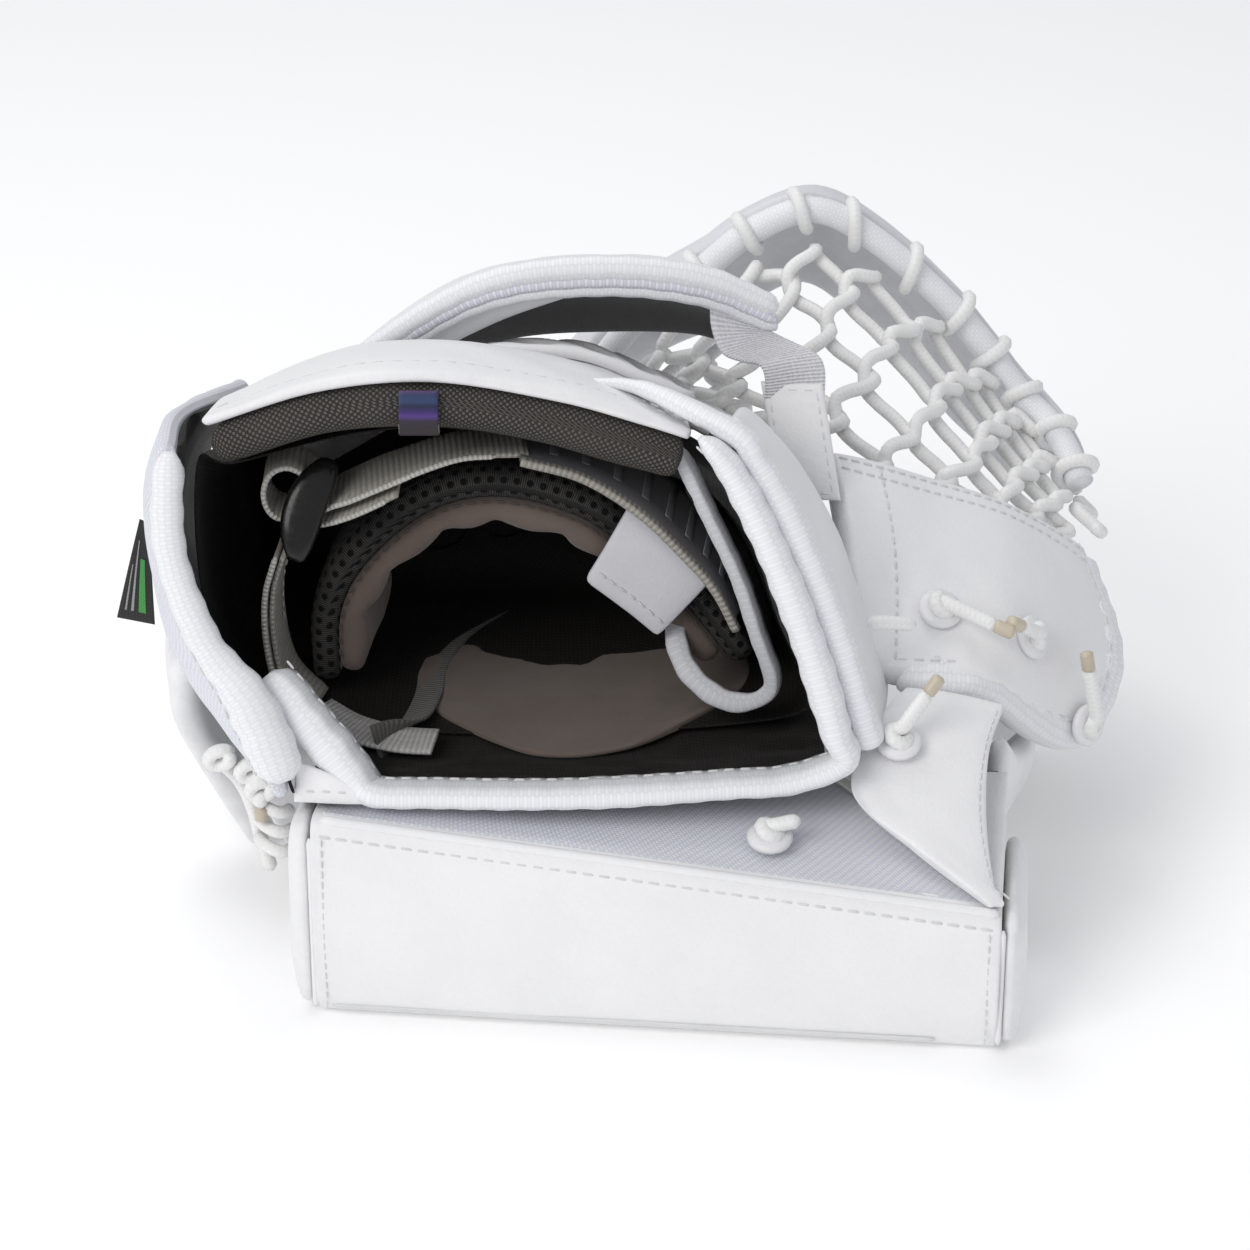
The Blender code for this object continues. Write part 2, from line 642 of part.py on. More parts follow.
def build_hand_pad(mesh, suede, leather, webbing, rubber):
    """The padded arch over the hand, and the webbing strap that pulls it down."""
    pivot = HAND_PAD_PIVOT
    under = -HAND_PAD - 0.8
    sheet("hand_pad", HAND_ARCH, 0, -HAND_PAD, mesh, (14, 3), pivot=pivot)
    sheet("hand_pad_liner", HAND_ARCH, under, under - HAND_LINER, suede, (14, 3),
          u=(0.02, 0.97), v=(0.03, 0.95), pivot=pivot)
    tab = surface([
        [(0, -35, 142), (26, -35, 118)],
        [(-12, -35, 118), (8, -35, 98)],
    ])
    sheet("hand_pad_tab", tab, -0.8, 0.8, leather, (3, 3), pivot=pivot)
    line = [Vector((-104, -44, 142.4)), SLIDE_PIVOT, Vector((-86, -44, 149.1)),
            Vector((-70, -40, 157)), Vector((-50, -36, 163)), Vector((-30, -34, 164))]
    wide = [Vector((-4, 12, 20)), Vector((-4, 12, 20)), Vector((-4, 12, 20)),
            Vector((-3, 20, 10)), Vector((0, 24, 4)), Vector((0, 25, 0))]
    strip("strap_upper", line, wide, WEBBING, webbing, pivot)
    line = [Vector((-28, -34, 163)), Vector((-10, -34, 158)), Vector((8, -34, 148)),
            Vector((20, -34, 137)), Vector((29, -34, 126))]
    strip("strap_patch", line, [Vector((0, 26, 0))] * 5, RUBBER, rubber, pivot)


def build_strap_base(webbing, plastic):
    """The lower webbing, and the slide that runs on the upper one."""
    line = [Vector((-106, -34, 130)), Vector((-107, -34, 112)), Vector((-105, -34, 92))]
    strip("strap_lower", line, [Vector((0, 22, 0))] * 3, 2 * WEBBING, webbing)
    bar = Vector((18, 0, 7)).normalized()
    wide = Vector((-4, 12, 20)).normalized()
    thick = bar.cross(wide).normalized()
    bm = bmesh.new()
    loops = []
    for reach in (-SLIDE_HALF_LENGTH, SLIDE_HALF_LENGTH):
        for width, height in ((SLIDE_WIDTH, SLIDE_HEIGHT), (SLIDE_SLOT_WIDTH, SLIDE_SLOT_HEIGHT)):
            ring = []
            for a, b in ((-1, -1), (1, -1), (1, 1), (-1, 1)):
                corner = SLIDE_PIVOT + reach * bar + a * width / 2 * wide + b * height / 2 * thick
                ring.append(bm.verts.new(corner))
            loops.append(ring)
    for one, two in ((0, 1), (1, 3), (3, 2), (2, 0)):
        for i in range(4):
            j = (i + 1) % 4
            bm.faces.new((loops[one][i], loops[one][j], loops[two][j], loops[two][i]))
    add_object("strap_slide", bm, plastic, SLIDE_PIVOT, smooth=False)


def build_thumb(leather, nylon, board, lining, lace):
    """The thumb: its near end stays with the palm and the rest turns at the break."""
    pivot = THUMB_PIVOT
    sheet("thumb_base", THUMB_BACK, 0, THUMB_PAD, leather, (6, 2), v=(0.0, 0.42))
    sheet("thumb_pad", THUMB_BACK, 0, THUMB_PAD, leather, (6, 6), v=(0.46, 1.0), pivot=pivot)
    inner = THUMB_PAD + 2 * GAP
    sheet("thumb_board", THUMB_BACK, inner, inner + BOARD, board, (5, 5), u=(0.08, 0.9),
          v=(0.5, 0.95), pivot=pivot)
    corners = []
    for v in (0.48, 0.66, 0.82):
        edge = THUMB_BACK(0, v) + THUMB_PAD / 2 * normal_of(THUMB_BACK, 0, v)
        away = (THUMB_BACK(0, v) - THUMB_BACK(0.1, v)).normalized()
        corners.append(edge + away * (BINDING_RADIUS + 1))
    tip = THUMB_BACK(0, 1) + THUMB_PAD / 2 * normal_of(THUMB_BACK, 0, 1)
    diagonal = (THUMB_BACK(0, 1) - THUMB_BACK(0.1, 0.9)).normalized()
    corners.append(tip + diagonal * (BINDING_RADIUS + 2))
    for u in (0.16, 0.4, 0.7, 0.97):
        edge = THUMB_BACK(u, 1) + THUMB_PAD / 2 * normal_of(THUMB_BACK, u, 1)
        away = (THUMB_BACK(u, 1) - THUMB_BACK(u, 0.9)).normalized()
        corners.append(edge + away * (BINDING_RADIUS + 1))
    tube("thumb_binding", along(corners, 19), BINDING_RADIUS, nylon, pivot=pivot)

    face = surface([
        [(104, 30, 84), (126, 36, 78), (144, 42, 68)],
        [(100, 56, 48), (124, 58, 42), (146, 58, 38)],
        [(100, 78, 6), (124, 80, 3), (146, 76, 3)],
    ])
    sheet("thumb_face", face, 0, THUMB_FACE, leather, (5, 5), pivot=pivot)

    middle = [THUMB_BACK(0.55, v) + 25 * normal_of(THUMB_BACK, 0.55, v) for v in (0.55, 0.9)]
    add_stall("thumb_stall", middle[0], middle[1], THUMB_STALL_RADIUS, lining, pivot)

    for k, (u, v, own) in enumerate(((0.3, 0.25, STILL), (0.3, 0.6, pivot), (0.1, 0.93, pivot))):
        out = -normal_of(THUMB_BACK, u, v)
        base = THUMB_BACK(u, v) + out * (3 * GAP + WASHER_HEIGHT / 2)
        washer = disc(f"thumb_lace_{k + 1}", base, out, WASHER_RADIUS, WASHER_HEIGHT, lace, own)
        top = base + out * (WASHER_HEIGHT / 2 + LACE / 4)
        tail = (Vector((14, 0, -14)), Vector((-17, -3, 2)), Vector((-2, -4, 22)))[k]
        tail = tail - out * tail.dot(out) + out * 2
        ends = [top - tail * 0.15, top + tail * 0.4, top + tail]
        join_to(washer, tube(f"thumb_tail_{k + 1}", ends, LACE / 2, lace, 8, own))


def build_pocket(leather, nylon, lace):
    """The band round the pocket, its rolled edge, and the nets on both sides of it."""
    sheet("pocket_band", band_point, 0, BAND, leather, (22, 6))
    roll = [spline(ROLL_LINE, i / 30) - Vector((0, ROLL_RADIUS + 2, 0)) for i in range(31)]
    tube("band_roll", roll, ROLL_RADIUS, nylon)
    start = Vector((152, 78, 97))
    ends = [start, Vector((157, 70, 94)), Vector((150, 62, 100)), Vector((158, 54, 95)),
            Vector((153, 47, 101))]
    tube("web_lace", along(ends, 17), LACE / 2, lace)
    lattice("pocket_net", NET, 12, 5, lace)
    lattice("far_net", FAR_NET, 8, 5, lace)


def build():
    """Makes the whole glove."""
    clear_scene()
    leather = make_material("white leather", (0.88, 0.87, 0.88), 0.42)
    relief = make_material("moulded relief", (0.90, 0.90, 0.91), 0.35)
    nylon = make_material("white nylon", (0.84, 0.85, 0.90), 0.65)
    lining = make_material("black nylon", (0.02, 0.018, 0.017), 0.8)
    mesh = make_material("spacer mesh", (0.035, 0.033, 0.033), 0.85)
    foam = make_material("foam", (0.75, 0.75, 0.72), 0.9)
    board = make_material("stiff plastic", (0.15, 0.15, 0.16), 0.5)
    suede = make_material("suede", (0.19, 0.16, 0.14), 0.95)
    webbing = make_material("webbing", (0.42, 0.40, 0.37), 0.8)
    rubber = make_material("rubber patch", (0.10, 0.10, 0.10), 0.5)
    plastic = make_material("black plastic", (0.015, 0.015, 0.015), 0.35)
    elastic = make_material("elastic", (0.80, 0.80, 0.86), 0.8)
    ribbon = make_material("ribbon", (0.05, 0.05, 0.22), 0.4)
    label = make_material("label", (0.03, 0.03, 0.03), 0.8)
    lace = make_material("lace", (0.86, 0.86, 0.84), 0.6)
    build_cuff(leather, nylon, foam, board, lace)
    build_palm(leather, foam, suede, board, lining)
    build_fingers(lining)
    build_opening(nylon, lining)
    build_left_edge(lace, label)
    build_back_pad(leather, nylon, mesh, ribbon)
    build_hand_back(leather, relief)
    build_backhand(leather, nylon, elastic)
    build_hand_pad(mesh, suede, leather, webbing, rubber)
    build_strap_base(webbing, plastic)
    build_thumb(leather, nylon, board, lining, lace)
    build_pocket(leather, nylon, lace)


build()
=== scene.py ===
"""How the goalie catch glove looks: its leather, nylon, mesh, webbing and laces.

Lengths are millimetres in the wrist frame (x towards the thumb, y into the glove, z up)
until make() turns them into the row frame's metres.
"""
import json
import math

import bpy
import numpy as np
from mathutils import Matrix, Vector


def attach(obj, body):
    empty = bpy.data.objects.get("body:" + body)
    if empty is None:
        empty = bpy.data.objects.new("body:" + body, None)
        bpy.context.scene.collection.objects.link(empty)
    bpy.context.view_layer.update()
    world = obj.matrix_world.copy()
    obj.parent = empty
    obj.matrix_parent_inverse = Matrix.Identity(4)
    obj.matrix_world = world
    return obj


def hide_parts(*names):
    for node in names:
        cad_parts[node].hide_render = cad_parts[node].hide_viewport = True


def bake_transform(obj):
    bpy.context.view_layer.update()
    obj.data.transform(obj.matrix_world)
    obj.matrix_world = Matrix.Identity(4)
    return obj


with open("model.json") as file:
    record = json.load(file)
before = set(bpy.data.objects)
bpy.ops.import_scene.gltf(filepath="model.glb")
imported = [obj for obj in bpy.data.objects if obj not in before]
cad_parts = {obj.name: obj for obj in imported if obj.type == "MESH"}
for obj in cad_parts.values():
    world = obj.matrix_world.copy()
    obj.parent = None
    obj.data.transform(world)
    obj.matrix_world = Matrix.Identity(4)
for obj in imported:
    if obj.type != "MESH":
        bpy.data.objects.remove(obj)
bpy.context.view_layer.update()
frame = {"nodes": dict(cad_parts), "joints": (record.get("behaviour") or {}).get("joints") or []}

MM = 0.001
# The label's hinge lies here in the wrist frame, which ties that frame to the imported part.
LABEL_PIVOT = np.array((-147.2, -20.0, 112.0))
SHIFT = LABEL_PIVOT * MM - np.array(
    next(j["pos_m"] for j in frame["joints"] if j["name"] == "label_flex"))

LACE = 2.3
WASHER_RADIUS = 7.0
WASHER_SIDES = 20
STALL_SIDES = 24
TAPE_TUCK = 0.9
PUCKER_PITCH = 9.6
SLOPE_STEP = 0.01

EYE = np.array((0.0, -1042.0, 572.0))
AIM = np.array((0.0, 0.0, 86.0))
SENSOR = 36.0
LENS = 103.68
FLOOR_HALF = 6.0
FLOOR_DROP = 0.0004
PAPER_GLOW = 0.16
SKY_LIGHT = 0.55


# Curves and surfaces

def weights(t, count):
    """How much each of count control points weighs at each t on a smooth curve through them."""
    t = np.clip(np.asarray(t, float), 0, 1) * (count - 1)
    i = np.minimum(t.astype(int), count - 2)
    s = t - i
    parts = (
        0.5 * (-s + 2 * s ** 2 - s ** 3),
        0.5 * (2 - 5 * s ** 2 + 3 * s ** 3),
        0.5 * (s + 4 * s ** 2 - 3 * s ** 3),
        0.5 * (-s ** 2 + s ** 3),
    )
    out = np.zeros(t.shape + (count,))
    for k, part in enumerate(parts):
        j = i + k - 1
        low = j < 0
        high = j > count - 1
        inside = np.clip(j, 0, count - 1)
        for place, share in ((inside, np.where(low | high, 0, part)),
                             (np.zeros_like(i), np.where(low, 2 * part, 0)),
                             (np.ones_like(i), np.where(low, -part, 0)),
                             (np.full_like(i, count - 1), np.where(high, 2 * part, 0)),
                             (np.full_like(i, count - 2), np.where(high, -part, 0))):
            np.put_along_axis(
                out, place[..., None],
                np.take_along_axis(out, place[..., None], -1) + share[..., None], -1)
    return out


def curve(points, t):
    """Points at every t from 0 to 1 on the smooth curve through points."""
    points = np.asarray(points, float)
    return weights(t, len(points)) @ points


def surface(rows):
    """A smooth surface through rows of points: u runs along a row, v from row to row."""
    rows = np.asarray(rows, float)

    def at(u, v):
        return np.einsum("...c,...r,rcd->...d", weights(u, rows.shape[1]),
                         weights(v, rows.shape[0]), rows)

    return at


def unit(v):
    return v / np.maximum(np.linalg.norm(v, axis=-1, keepdims=True), 1e-9)


def normal_of(at, u, v):
    step = SLOPE_STEP
    across = at(np.minimum(u + step, 1), v) - at(np.maximum(u - step, 0), v)
    down = at(u, np.minimum(v + step, 1)) - at(u, np.maximum(v - step, 0))
    return unit(np.cross(across, down))


def offset(at, u, v, height):
    """Points at a height over a surface."""
    u = np.asarray(u, float)
    v = np.broadcast_to(np.asarray(v, float), u.shape)
    return at(u, v) + height * normal_of(at, u, v)


def even(count):
    """Even steps from 0 to 1."""
    return np.linspace(0, 1, count)


def distances(line):
    """How far along a line each of its points is."""
    return np.concatenate([[0], np.cumsum(np.linalg.norm(np.diff(line, axis=0), axis=1))])


def along(line, far, places):
    """The places at given distances along a line."""
    return np.stack([np.interp(places, far, line[:, k]) for k in range(3)], 1)


def resample(points, step):
    """The same line with evenly spaced points."""
    points = np.asarray(points, float)
    far = distances(points)
    count = max(int(round(far[-1] / step)), 2) + 1
    return along(points, far, np.linspace(0, far[-1], count))


def tangents(line):
    return unit(np.gradient(line, axis=0))


def noise(x, y, seed=0):
    """Smooth noise from -1 to 1 with a cell of one unit."""
    xi = np.floor(x)
    yi = np.floor(y)
    fx = x - xi
    fy = y - yi
    fx = fx * fx * (3 - 2 * fx)
    fy = fy * fy * (3 - 2 * fy)

    def value(i, j):
        wave = np.sin(i * 127.1 + j * 311.7 + seed * 74.7) * 43758.5453
        return 2 * (wave - np.floor(wave)) - 1

    low = value(xi, yi) * (1 - fx) + value(xi + 1, yi) * fx
    high = value(xi, yi + 1) * (1 - fx) + value(xi + 1, yi + 1) * fx
    return low * (1 - fy) + high * fy


def creases(x, y, seed=0):
    """Soft folds of a few sizes, for leather and cloth."""
    return (noise(x / 34, y / 22, seed) + 0.5 * noise(x / 13, y / 10, seed + 3)
            + 0.25 * noise(x / 6, y / 6, seed + 5))


def folded(depth, seed):
    """A pad's bump that is plain soft folds."""
    return lambda a, b, fa, fb: depth * creases(a, b, seed)


# Turning numbers into objects

def make(name, verts, faces, material, body, replaces=(), uv=None, seam=None):
    """A smooth mesh object, in metres, that rides on a body."""
    mesh = bpy.data.meshes.new(name)
    verts = np.asarray(verts, float)
    verts[:, 2] = np.maximum(verts[:, 2], 0)
    mesh.from_pydata((verts * MM - SHIFT).tolist(), [], faces)
    mesh.update()
    index = np.zeros(len(mesh.loops), int)
    mesh.loops.foreach_get("vertex_index", index)
    if uv is None:
        uv = verts[:, :2]
    layer = mesh.uv_layers.new(name="cloth")
    layer.data.foreach_set("uv", (np.asarray(uv, float)[index] * MM).astype(np.float32).ravel())
    values = np.zeros(len(verts)) if seam is None else seam
    attribute = mesh.attributes.new("seam", "FLOAT", "POINT")
    attribute.data.foreach_set("value", np.asarray(values, np.float32))
    mesh.polygons.foreach_set("use_smooth", [True] * len(mesh.polygons))
    mesh.materials.append(material)
    piece = bpy.data.objects.new(name, mesh)
    bpy.context.scene.collection.objects.link(piece)
    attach(piece, body)
    if replaces:
        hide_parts(*replaces)
    return piece


def ring_faces(rings, sides):
    """The faces of a closed tube of rings, with its two caps."""
    faces = []
    for i in range(rings - 1):
        for k in range(sides):
            a = i * sides + k
            b = i * sides + (k + 1) % sides
            faces.append((a, b, b + sides, a + sides))
    faces.append(tuple(range(sides))[::-1])
    faces.append(tuple((rings - 1) * sides + k for k in range(sides)))
    return faces


def sweep(name, line, forward, outline, material, body, **more):
    """A closed outline swept along a line. Outline x lies along forward, y along the side."""
    line = np.asarray(line, float)
    ahead = tangents(line)
    forward = unit(forward - ahead * np.sum(forward * ahead, -1, keepdims=True))
    side = np.cross(ahead, forward)
    outline = np.asarray(outline, float)
    if outline.ndim == 2:
        outline = np.broadcast_to(outline, (len(line),) + outline.shape)
    verts = (line[:, None] + outline[..., :1] * forward[:, None]
             + outline[..., 1:] * side[:, None])
    uv = np.stack(np.broadcast_arrays(distances(line)[:, None], distances(outline[0])[None]), -1)
    return make(name, verts.reshape(-1, 3), ring_faces(len(line), outline.shape[1]), material,
                body, uv=uv.reshape(-1, 2), **more)


def carried(line, start):
    """Side vectors that follow a line without twisting."""
    ahead = tangents(line)
    out = [unit(np.asarray(start, float))]
    for t in ahead:
        v = out[-1] - t * np.dot(out[-1], t)
        out.append(unit(v))
    return np.array(out[1:])


def round_outline(radius, sides=10, squash=1.0):
    angle = np.linspace(0, math.tau, sides, endpoint=False)
    return np.stack([radius * np.cos(angle), squash * radius * np.sin(angle)], 1)


def cord_piece(name, line, radius, material, body, step=1.6, sides=10, **more):
    """A round lace along a smooth line, with rounded ends."""
    line = resample(curve(line, even(40 * len(line))), step)
    size = np.full(len(line), radius)
    size[[0, -1]] *= 0.45
    outline = round_outline(1, sides)[None] * size[:, None, None]
    start = np.cross(tangents(line)[0], (0.3, 0.2, 0.93))
    return sweep(name, line, carried(line, start), outline, material, body, **more)


STITCH = np.array([(x, r * math.cos(a), r * math.sin(a)) for x, r in
                   ((-1, 0.35), (-0.72, 1), (0.72, 1), (1, 0.35))
                   for a in np.linspace(0, math.tau, 5, endpoint=False)])


def stitches(name, line, up, body, pitch=4.6, length=3.1, radius=0.42, lift=0.15, colour=None):
    """A row of thread stitches lying on a surface."""
    line = np.asarray(line, float)
    up = np.broadcast_to(np.asarray(up, float), line.shape)
    far = distances(line)
    count = max(int(far[-1] / pitch), 1)
    at = (np.arange(count) + 0.5) * far[-1] / count
    middle = along(line, far, at)
    ahead = unit(along(line, far, at + 0.8) - along(line, far, at - 0.8))
    up = unit(along(up, far, at))
    side = unit(np.cross(ahead, up))
    up = np.cross(side, ahead)
    verts = (middle[:, None] + lift * up[:, None]
             + STITCH[None, :, :1] * length / 2 * ahead[:, None]
             + STITCH[None, :, 1:2] * radius * side[:, None]
             + STITCH[None, :, 2:] * radius * up[:, None])
    faces = [tuple(len(STITCH) * k + i for i in face) for k in range(count)
             for face in ring_faces(4, 5)]
    return make(name, verts.reshape(-1, 3), faces, colour or THREAD, body)


class Pad:
    """A soft sheet or pad on a surface, from its near to its far height, crowned on the far."""

    def __init__(self, at, near, far, u=(0, 1), v=(0, 1), edge=2.0, crown=0.0, corner=0.0,
                 grooves=(), bump=None, step=2.6):
        self.at, self.near, self.far = at, near, far
        self.u, self.v = u, v
        self.edge, self.crown, self.corner = edge, crown, corner
        self.grooves, self.bump, self.step = grooves, bump, step
        line = even(40)
        half = np.full(40, 0.5)
        self.size = [np.linalg.norm(np.diff(at(u[0] + (u[1] - u[0]) * a, v[0] + (v[1] - v[0]) * b),
                                            axis=0), axis=1).sum()
                     for a, b in ((line, half), (half, line))]

    def spot(self, a, b):
        """Surface places for the pad's own places, with its corners rounded."""
        x = 2 * np.asarray(a, float) - 1
        y = 2 * np.asarray(b, float) - 1
        if self.corner:
            cx = min(2 * self.corner / self.size[0], 1)
            cy = min(2 * self.corner / self.size[1], 1)
            px = np.clip((np.abs(x) - (1 - cx)) / cx, 0, 1)
            py = np.clip((np.abs(y) - (1 - cy)) / cy, 0, 1)
            x = np.sign(x) * (np.abs(x) - cx * px * (1 - np.sqrt(1 - py ** 2 / 2)))
            y = np.sign(y) * (np.abs(y) - cy * py * (1 - np.sqrt(1 - px ** 2 / 2)))
        return (self.u[0] + (self.u[1] - self.u[0]) * (x + 1) / 2,
                self.v[0] + (self.v[1] - self.v[0]) * (y + 1) / 2)

    def inset(self, a, b):
        """How far a place is from the pad's nearest edge."""
        long, wide = self.size
        return np.minimum(np.minimum(a, 1 - a) * long, np.minimum(b, 1 - b) * wide)

    def skin(self, a, b, outer=True):
        """Points on the pad's outer or inner skin."""
        a = np.asarray(a, float)
        b = np.broadcast_to(np.asarray(b, float), a.shape)
        u, v = self.spot(a, b)
        d = self.inset(a, b)
        full = np.sqrt(1 - (1 - np.clip(d / self.edge, 0, 1)) ** 2)
        side = np.sign(self.far - self.near)
        half = abs(self.far - self.near) / 2
        height = half * full
        if outer:
            swell = self.crown * (1 - (2 * a - 1) ** 4) * (1 - (2 * b - 1) ** 4)
            for place, depth, width in self.grooves:
                swell = swell - depth * np.exp(-((d - place) / width) ** 2)
            if self.bump is not None:
                swell = swell + self.bump(a * self.size[0], b * self.size[1], a, b)
            height = height + swell * np.clip(d / self.edge, 0, 1)
        else:
            height = -height
        middle = (self.near + self.far) / 2
        return self.at(u, v) + (middle + side * height)[..., None] * normal_of(self.at, u, v)

    def stops(self, k):
        size = self.size[k]
        edge = min(self.edge, size / 2.5)
        ends = edge * np.array((0, 0.07, 0.25, 0.55))
        count = max(int((size - 2 * edge) / self.step), 2)
        middle = np.linspace(edge, size - edge, count + 1)
        return np.concatenate([ends, middle, size - ends[::-1]]) / size

    def build(self, name, material, body, replaces=(), fill=None, **more):
        """The pad as an object; fill is not used."""
        a = self.stops(0)
        b = self.stops(1)
        grid_a, grid_b = np.meshgrid(a, b, indexing="ij")
        top = self.skin(grid_a, grid_b)
        low = self.skin(grid_a, grid_b, outer=False)
        n, m = grid_a.shape
        index = np.arange(n * m).reshape(n, m)
        under = index + n * m
        under[[0, -1]] = index[[0, -1]]
        under[:, [0, -1]] = index[:, [0, -1]]
        faces = []
        for grid, turn in ((index, 1), (under, -1)):
            for i in range(n - 1):
                for j in range(m - 1):
                    face = (grid[i, j], grid[i + 1, j], grid[i + 1, j + 1], grid[i, j + 1])
                    faces.append(tuple(int(f) for f in face[::turn]))
        if self.far < self.near:
            faces = [f[::-1] for f in faces]
        used = np.unique(np.array([i for f in faces for i in f]))
        new = np.zeros(2 * n * m, int)
        new[used] = np.arange(len(used))
        verts = np.concatenate([top.reshape(-1, 3), low.reshape(-1, 3)])[used]
        faces = [tuple(int(new[i]) for i in f) for f in faces]
        uv = np.concatenate([self.cloth(top, 1), self.cloth(low, -1)])[used]
        d = self.inset(grid_a, grid_b)
        seam = np.exp(-d / 2.5)
        for place, _, width in self.grooves:
            seam = seam + 0.8 * np.exp(-((d - place) / width) ** 2)
        seam = np.clip(np.concatenate([seam.ravel(), np.ones(n * m)])[used], 0, 1)
        piece = make(name, verts, faces, material, body, replaces=replaces, uv=uv, seam=seam,
                     **more)
        return piece if fill is None else piece

    @staticmethod
    def cloth(skin, way):
        """Places on the cloth, as measured over one skin from the near edges."""
        across = np.linalg.norm(np.diff(skin, axis=0), axis=2).cumsum(axis=0)
        down = np.linalg.norm(np.diff(skin, axis=1), axis=2).cumsum(axis=1)
        across = np.pad(across, ((1, 0), (0, 0))).mean(axis=1, keepdims=True)
        down = np.pad(down, ((0, 0), (1, 0)))
        return np.stack(np.broadcast_arrays(across, way * down), -1).reshape(-1, 2)

    def along(self, name, a, b, body, lift=0.15, **more):
        """Stitches on the outer skin through places a, b of the pad."""
        a = np.interp(even(160), even(len(a)), a)
        b = np.interp(even(160), even(len(b)), b)
        line = self.skin(a, b)
        u, v = self.spot(a, b)
        up = normal_of(self.at, u, v) * np.sign(self.far - self.near)
        return stitches(name, line, up, body, lift=lift, **more)

    def border(self, name, inset, body, sides="lrtb", **more):
        """Stitches at one distance from some of the edges: l, r along b, and t, b along a."""
        long = inset / self.size[0]
        wide = inset / self.size[1]
        across = (long, 1 - long)
        down = (wide, 1 - wide)
        ends = {"l": (across[:1] * 2, down), "r": (across[1:] * 2, down),
                "b": (across, down[:1] * 2), "t": (across, down[1:] * 2)}
        for side in sides:
            self.along(f"{name}_{side}", *ends[side], body, **more)


# Materials, in metres

PLAIT_PITCH = 0.0017
PLAIT_TURN = 0.00241
ROW_SPACING = 0.86
YARN_WAVE = 37.7


class Nodes:
    """Short calls for building one material's nodes."""

    def __init__(self, name, slot, roughness=0.5, **fixed):
        self.material = bpy.data.materials.new(name)
        self.material["slot"] = slot
        self.material.use_nodes = True
        self.tree = self.material.node_tree
        self.shader = self.tree.nodes["Principled BSDF"]
        self.shader.inputs["Roughness"].default_value = roughness
        for key, value in fixed.items():
            self.shader.inputs[key.replace("_", " ")].default_value = value

    def node(self, kind, inputs=None, **settings):
        node = self.tree.nodes.new(kind)
        for key, value in settings.items():
            setattr(node, key, value)
        for key, value in (inputs or {}).items():
            self.feed(node.inputs[key], value)
        return node

    def feed(self, socket, value):
        if isinstance(value, bpy.types.NodeSocket):
            self.tree.links.new(value, socket)
        else:
            socket.default_value = value

    def math(self, operation, *values):
        node = self.node("ShaderNodeMath", operation=operation)
        for socket, value in zip(node.inputs, values):
            self.feed(socket, value)
        return node.outputs[0]

    def times(self, *values):
        return self.math("MULTIPLY", *values)

    def plus(self, *values):
        return self.math("ADD", *values)

    def sine(self, value):
        return self.math("SINE", value)

    def place(self):
        return self.node("ShaderNodeTexCoord").outputs["Object"]

    def weave_place(self):
        """The two places on the cloth, in metres."""
        place = self.node("ShaderNodeTexCoord").outputs["UV"]
        return self.node("ShaderNodeSeparateXYZ", {0: place}).outputs[:2]

    def noise(self, scale, detail=3.0):
        node = self.node("ShaderNodeTexNoise", {"Vector": self.place(), "Scale": scale,
                                                "Detail": detail, "Roughness": 0.55})
        return node.outputs["Fac"]

    def pebbles(self, scale):
        node = self.node("ShaderNodeTexVoronoi", {"Vector": self.place(), "Scale": scale},
                         feature="SMOOTH_F1")
        return node.outputs["Distance"]

    def ramp(self, value, low, high, out_low=0.0, out_high=1.0):
        node = self.node("ShaderNodeMapRange", {"Value": value, "From Min": low, "From Max": high,
                                                "To Min": out_low, "To Max": out_high})
        return node.outputs[0]

    def mix(self, factor, one, two):
        node = self.node("ShaderNodeMix", data_type="RGBA")
        self.feed(node.inputs[0], factor)
        self.feed(node.inputs[6], one if isinstance(one, bpy.types.NodeSocket) else (*one, 1))
        self.feed(node.inputs[7], two if isinstance(two, bpy.types.NodeSocket) else (*two, 1))
        return node.outputs[2]

    def seam(self):
        return self.node("ShaderNodeAttribute", attribute_name="seam").outputs["Fac"]

    def threads(self, pitch):
        """A plain weave's height and which thread is on top, pitch in metres."""
        x, y = (self.math("DIVIDE", place, pitch) for place in self.weave_place())
        parity = self.math("MODULO", self.plus(self.math("FLOOR", x), self.math("FLOOR", y)), 2.0)
        over = self.math("ABSOLUTE", parity)
        arcs = [self.sine(self.times(self.math("FRACT", t), math.pi)) for t in (x, y)]
        roots = [self.math("POWER", self.math("ABSOLUTE", a), 0.6) for a in arcs]
        warp, weft = (self.times(root, self.math("MULTIPLY_ADD", arc, 0.45, 0.55))
                      for root, arc in zip(roots, arcs[::-1]))
        swap = self.node("ShaderNodeMix", data_type="FLOAT")
        self.feed(swap.inputs[0], over)
        self.feed(swap.inputs[2], warp)
        self.feed(swap.inputs[3], weft)
        return swap.outputs[0], over

    def finish(self, colour, roughness=None, height=None, depth=0.0002, strength=1.0):
        self.feed(self.shader.inputs["Base Color"],
                  colour if isinstance(colour, bpy.types.NodeSocket) else (*colour, 1))
        if roughness is not None:
            self.feed(self.shader.inputs["Roughness"], roughness)
        if height is not None:
            bump = self.node("ShaderNodeBump", {"Height": height, "Distance": depth,
                                                "Strength": strength})
            self.feed(self.shader.inputs["Normal"], bump.outputs[0])
        return self.material


def dim(colour, share):
    return [c * share for c in colour]


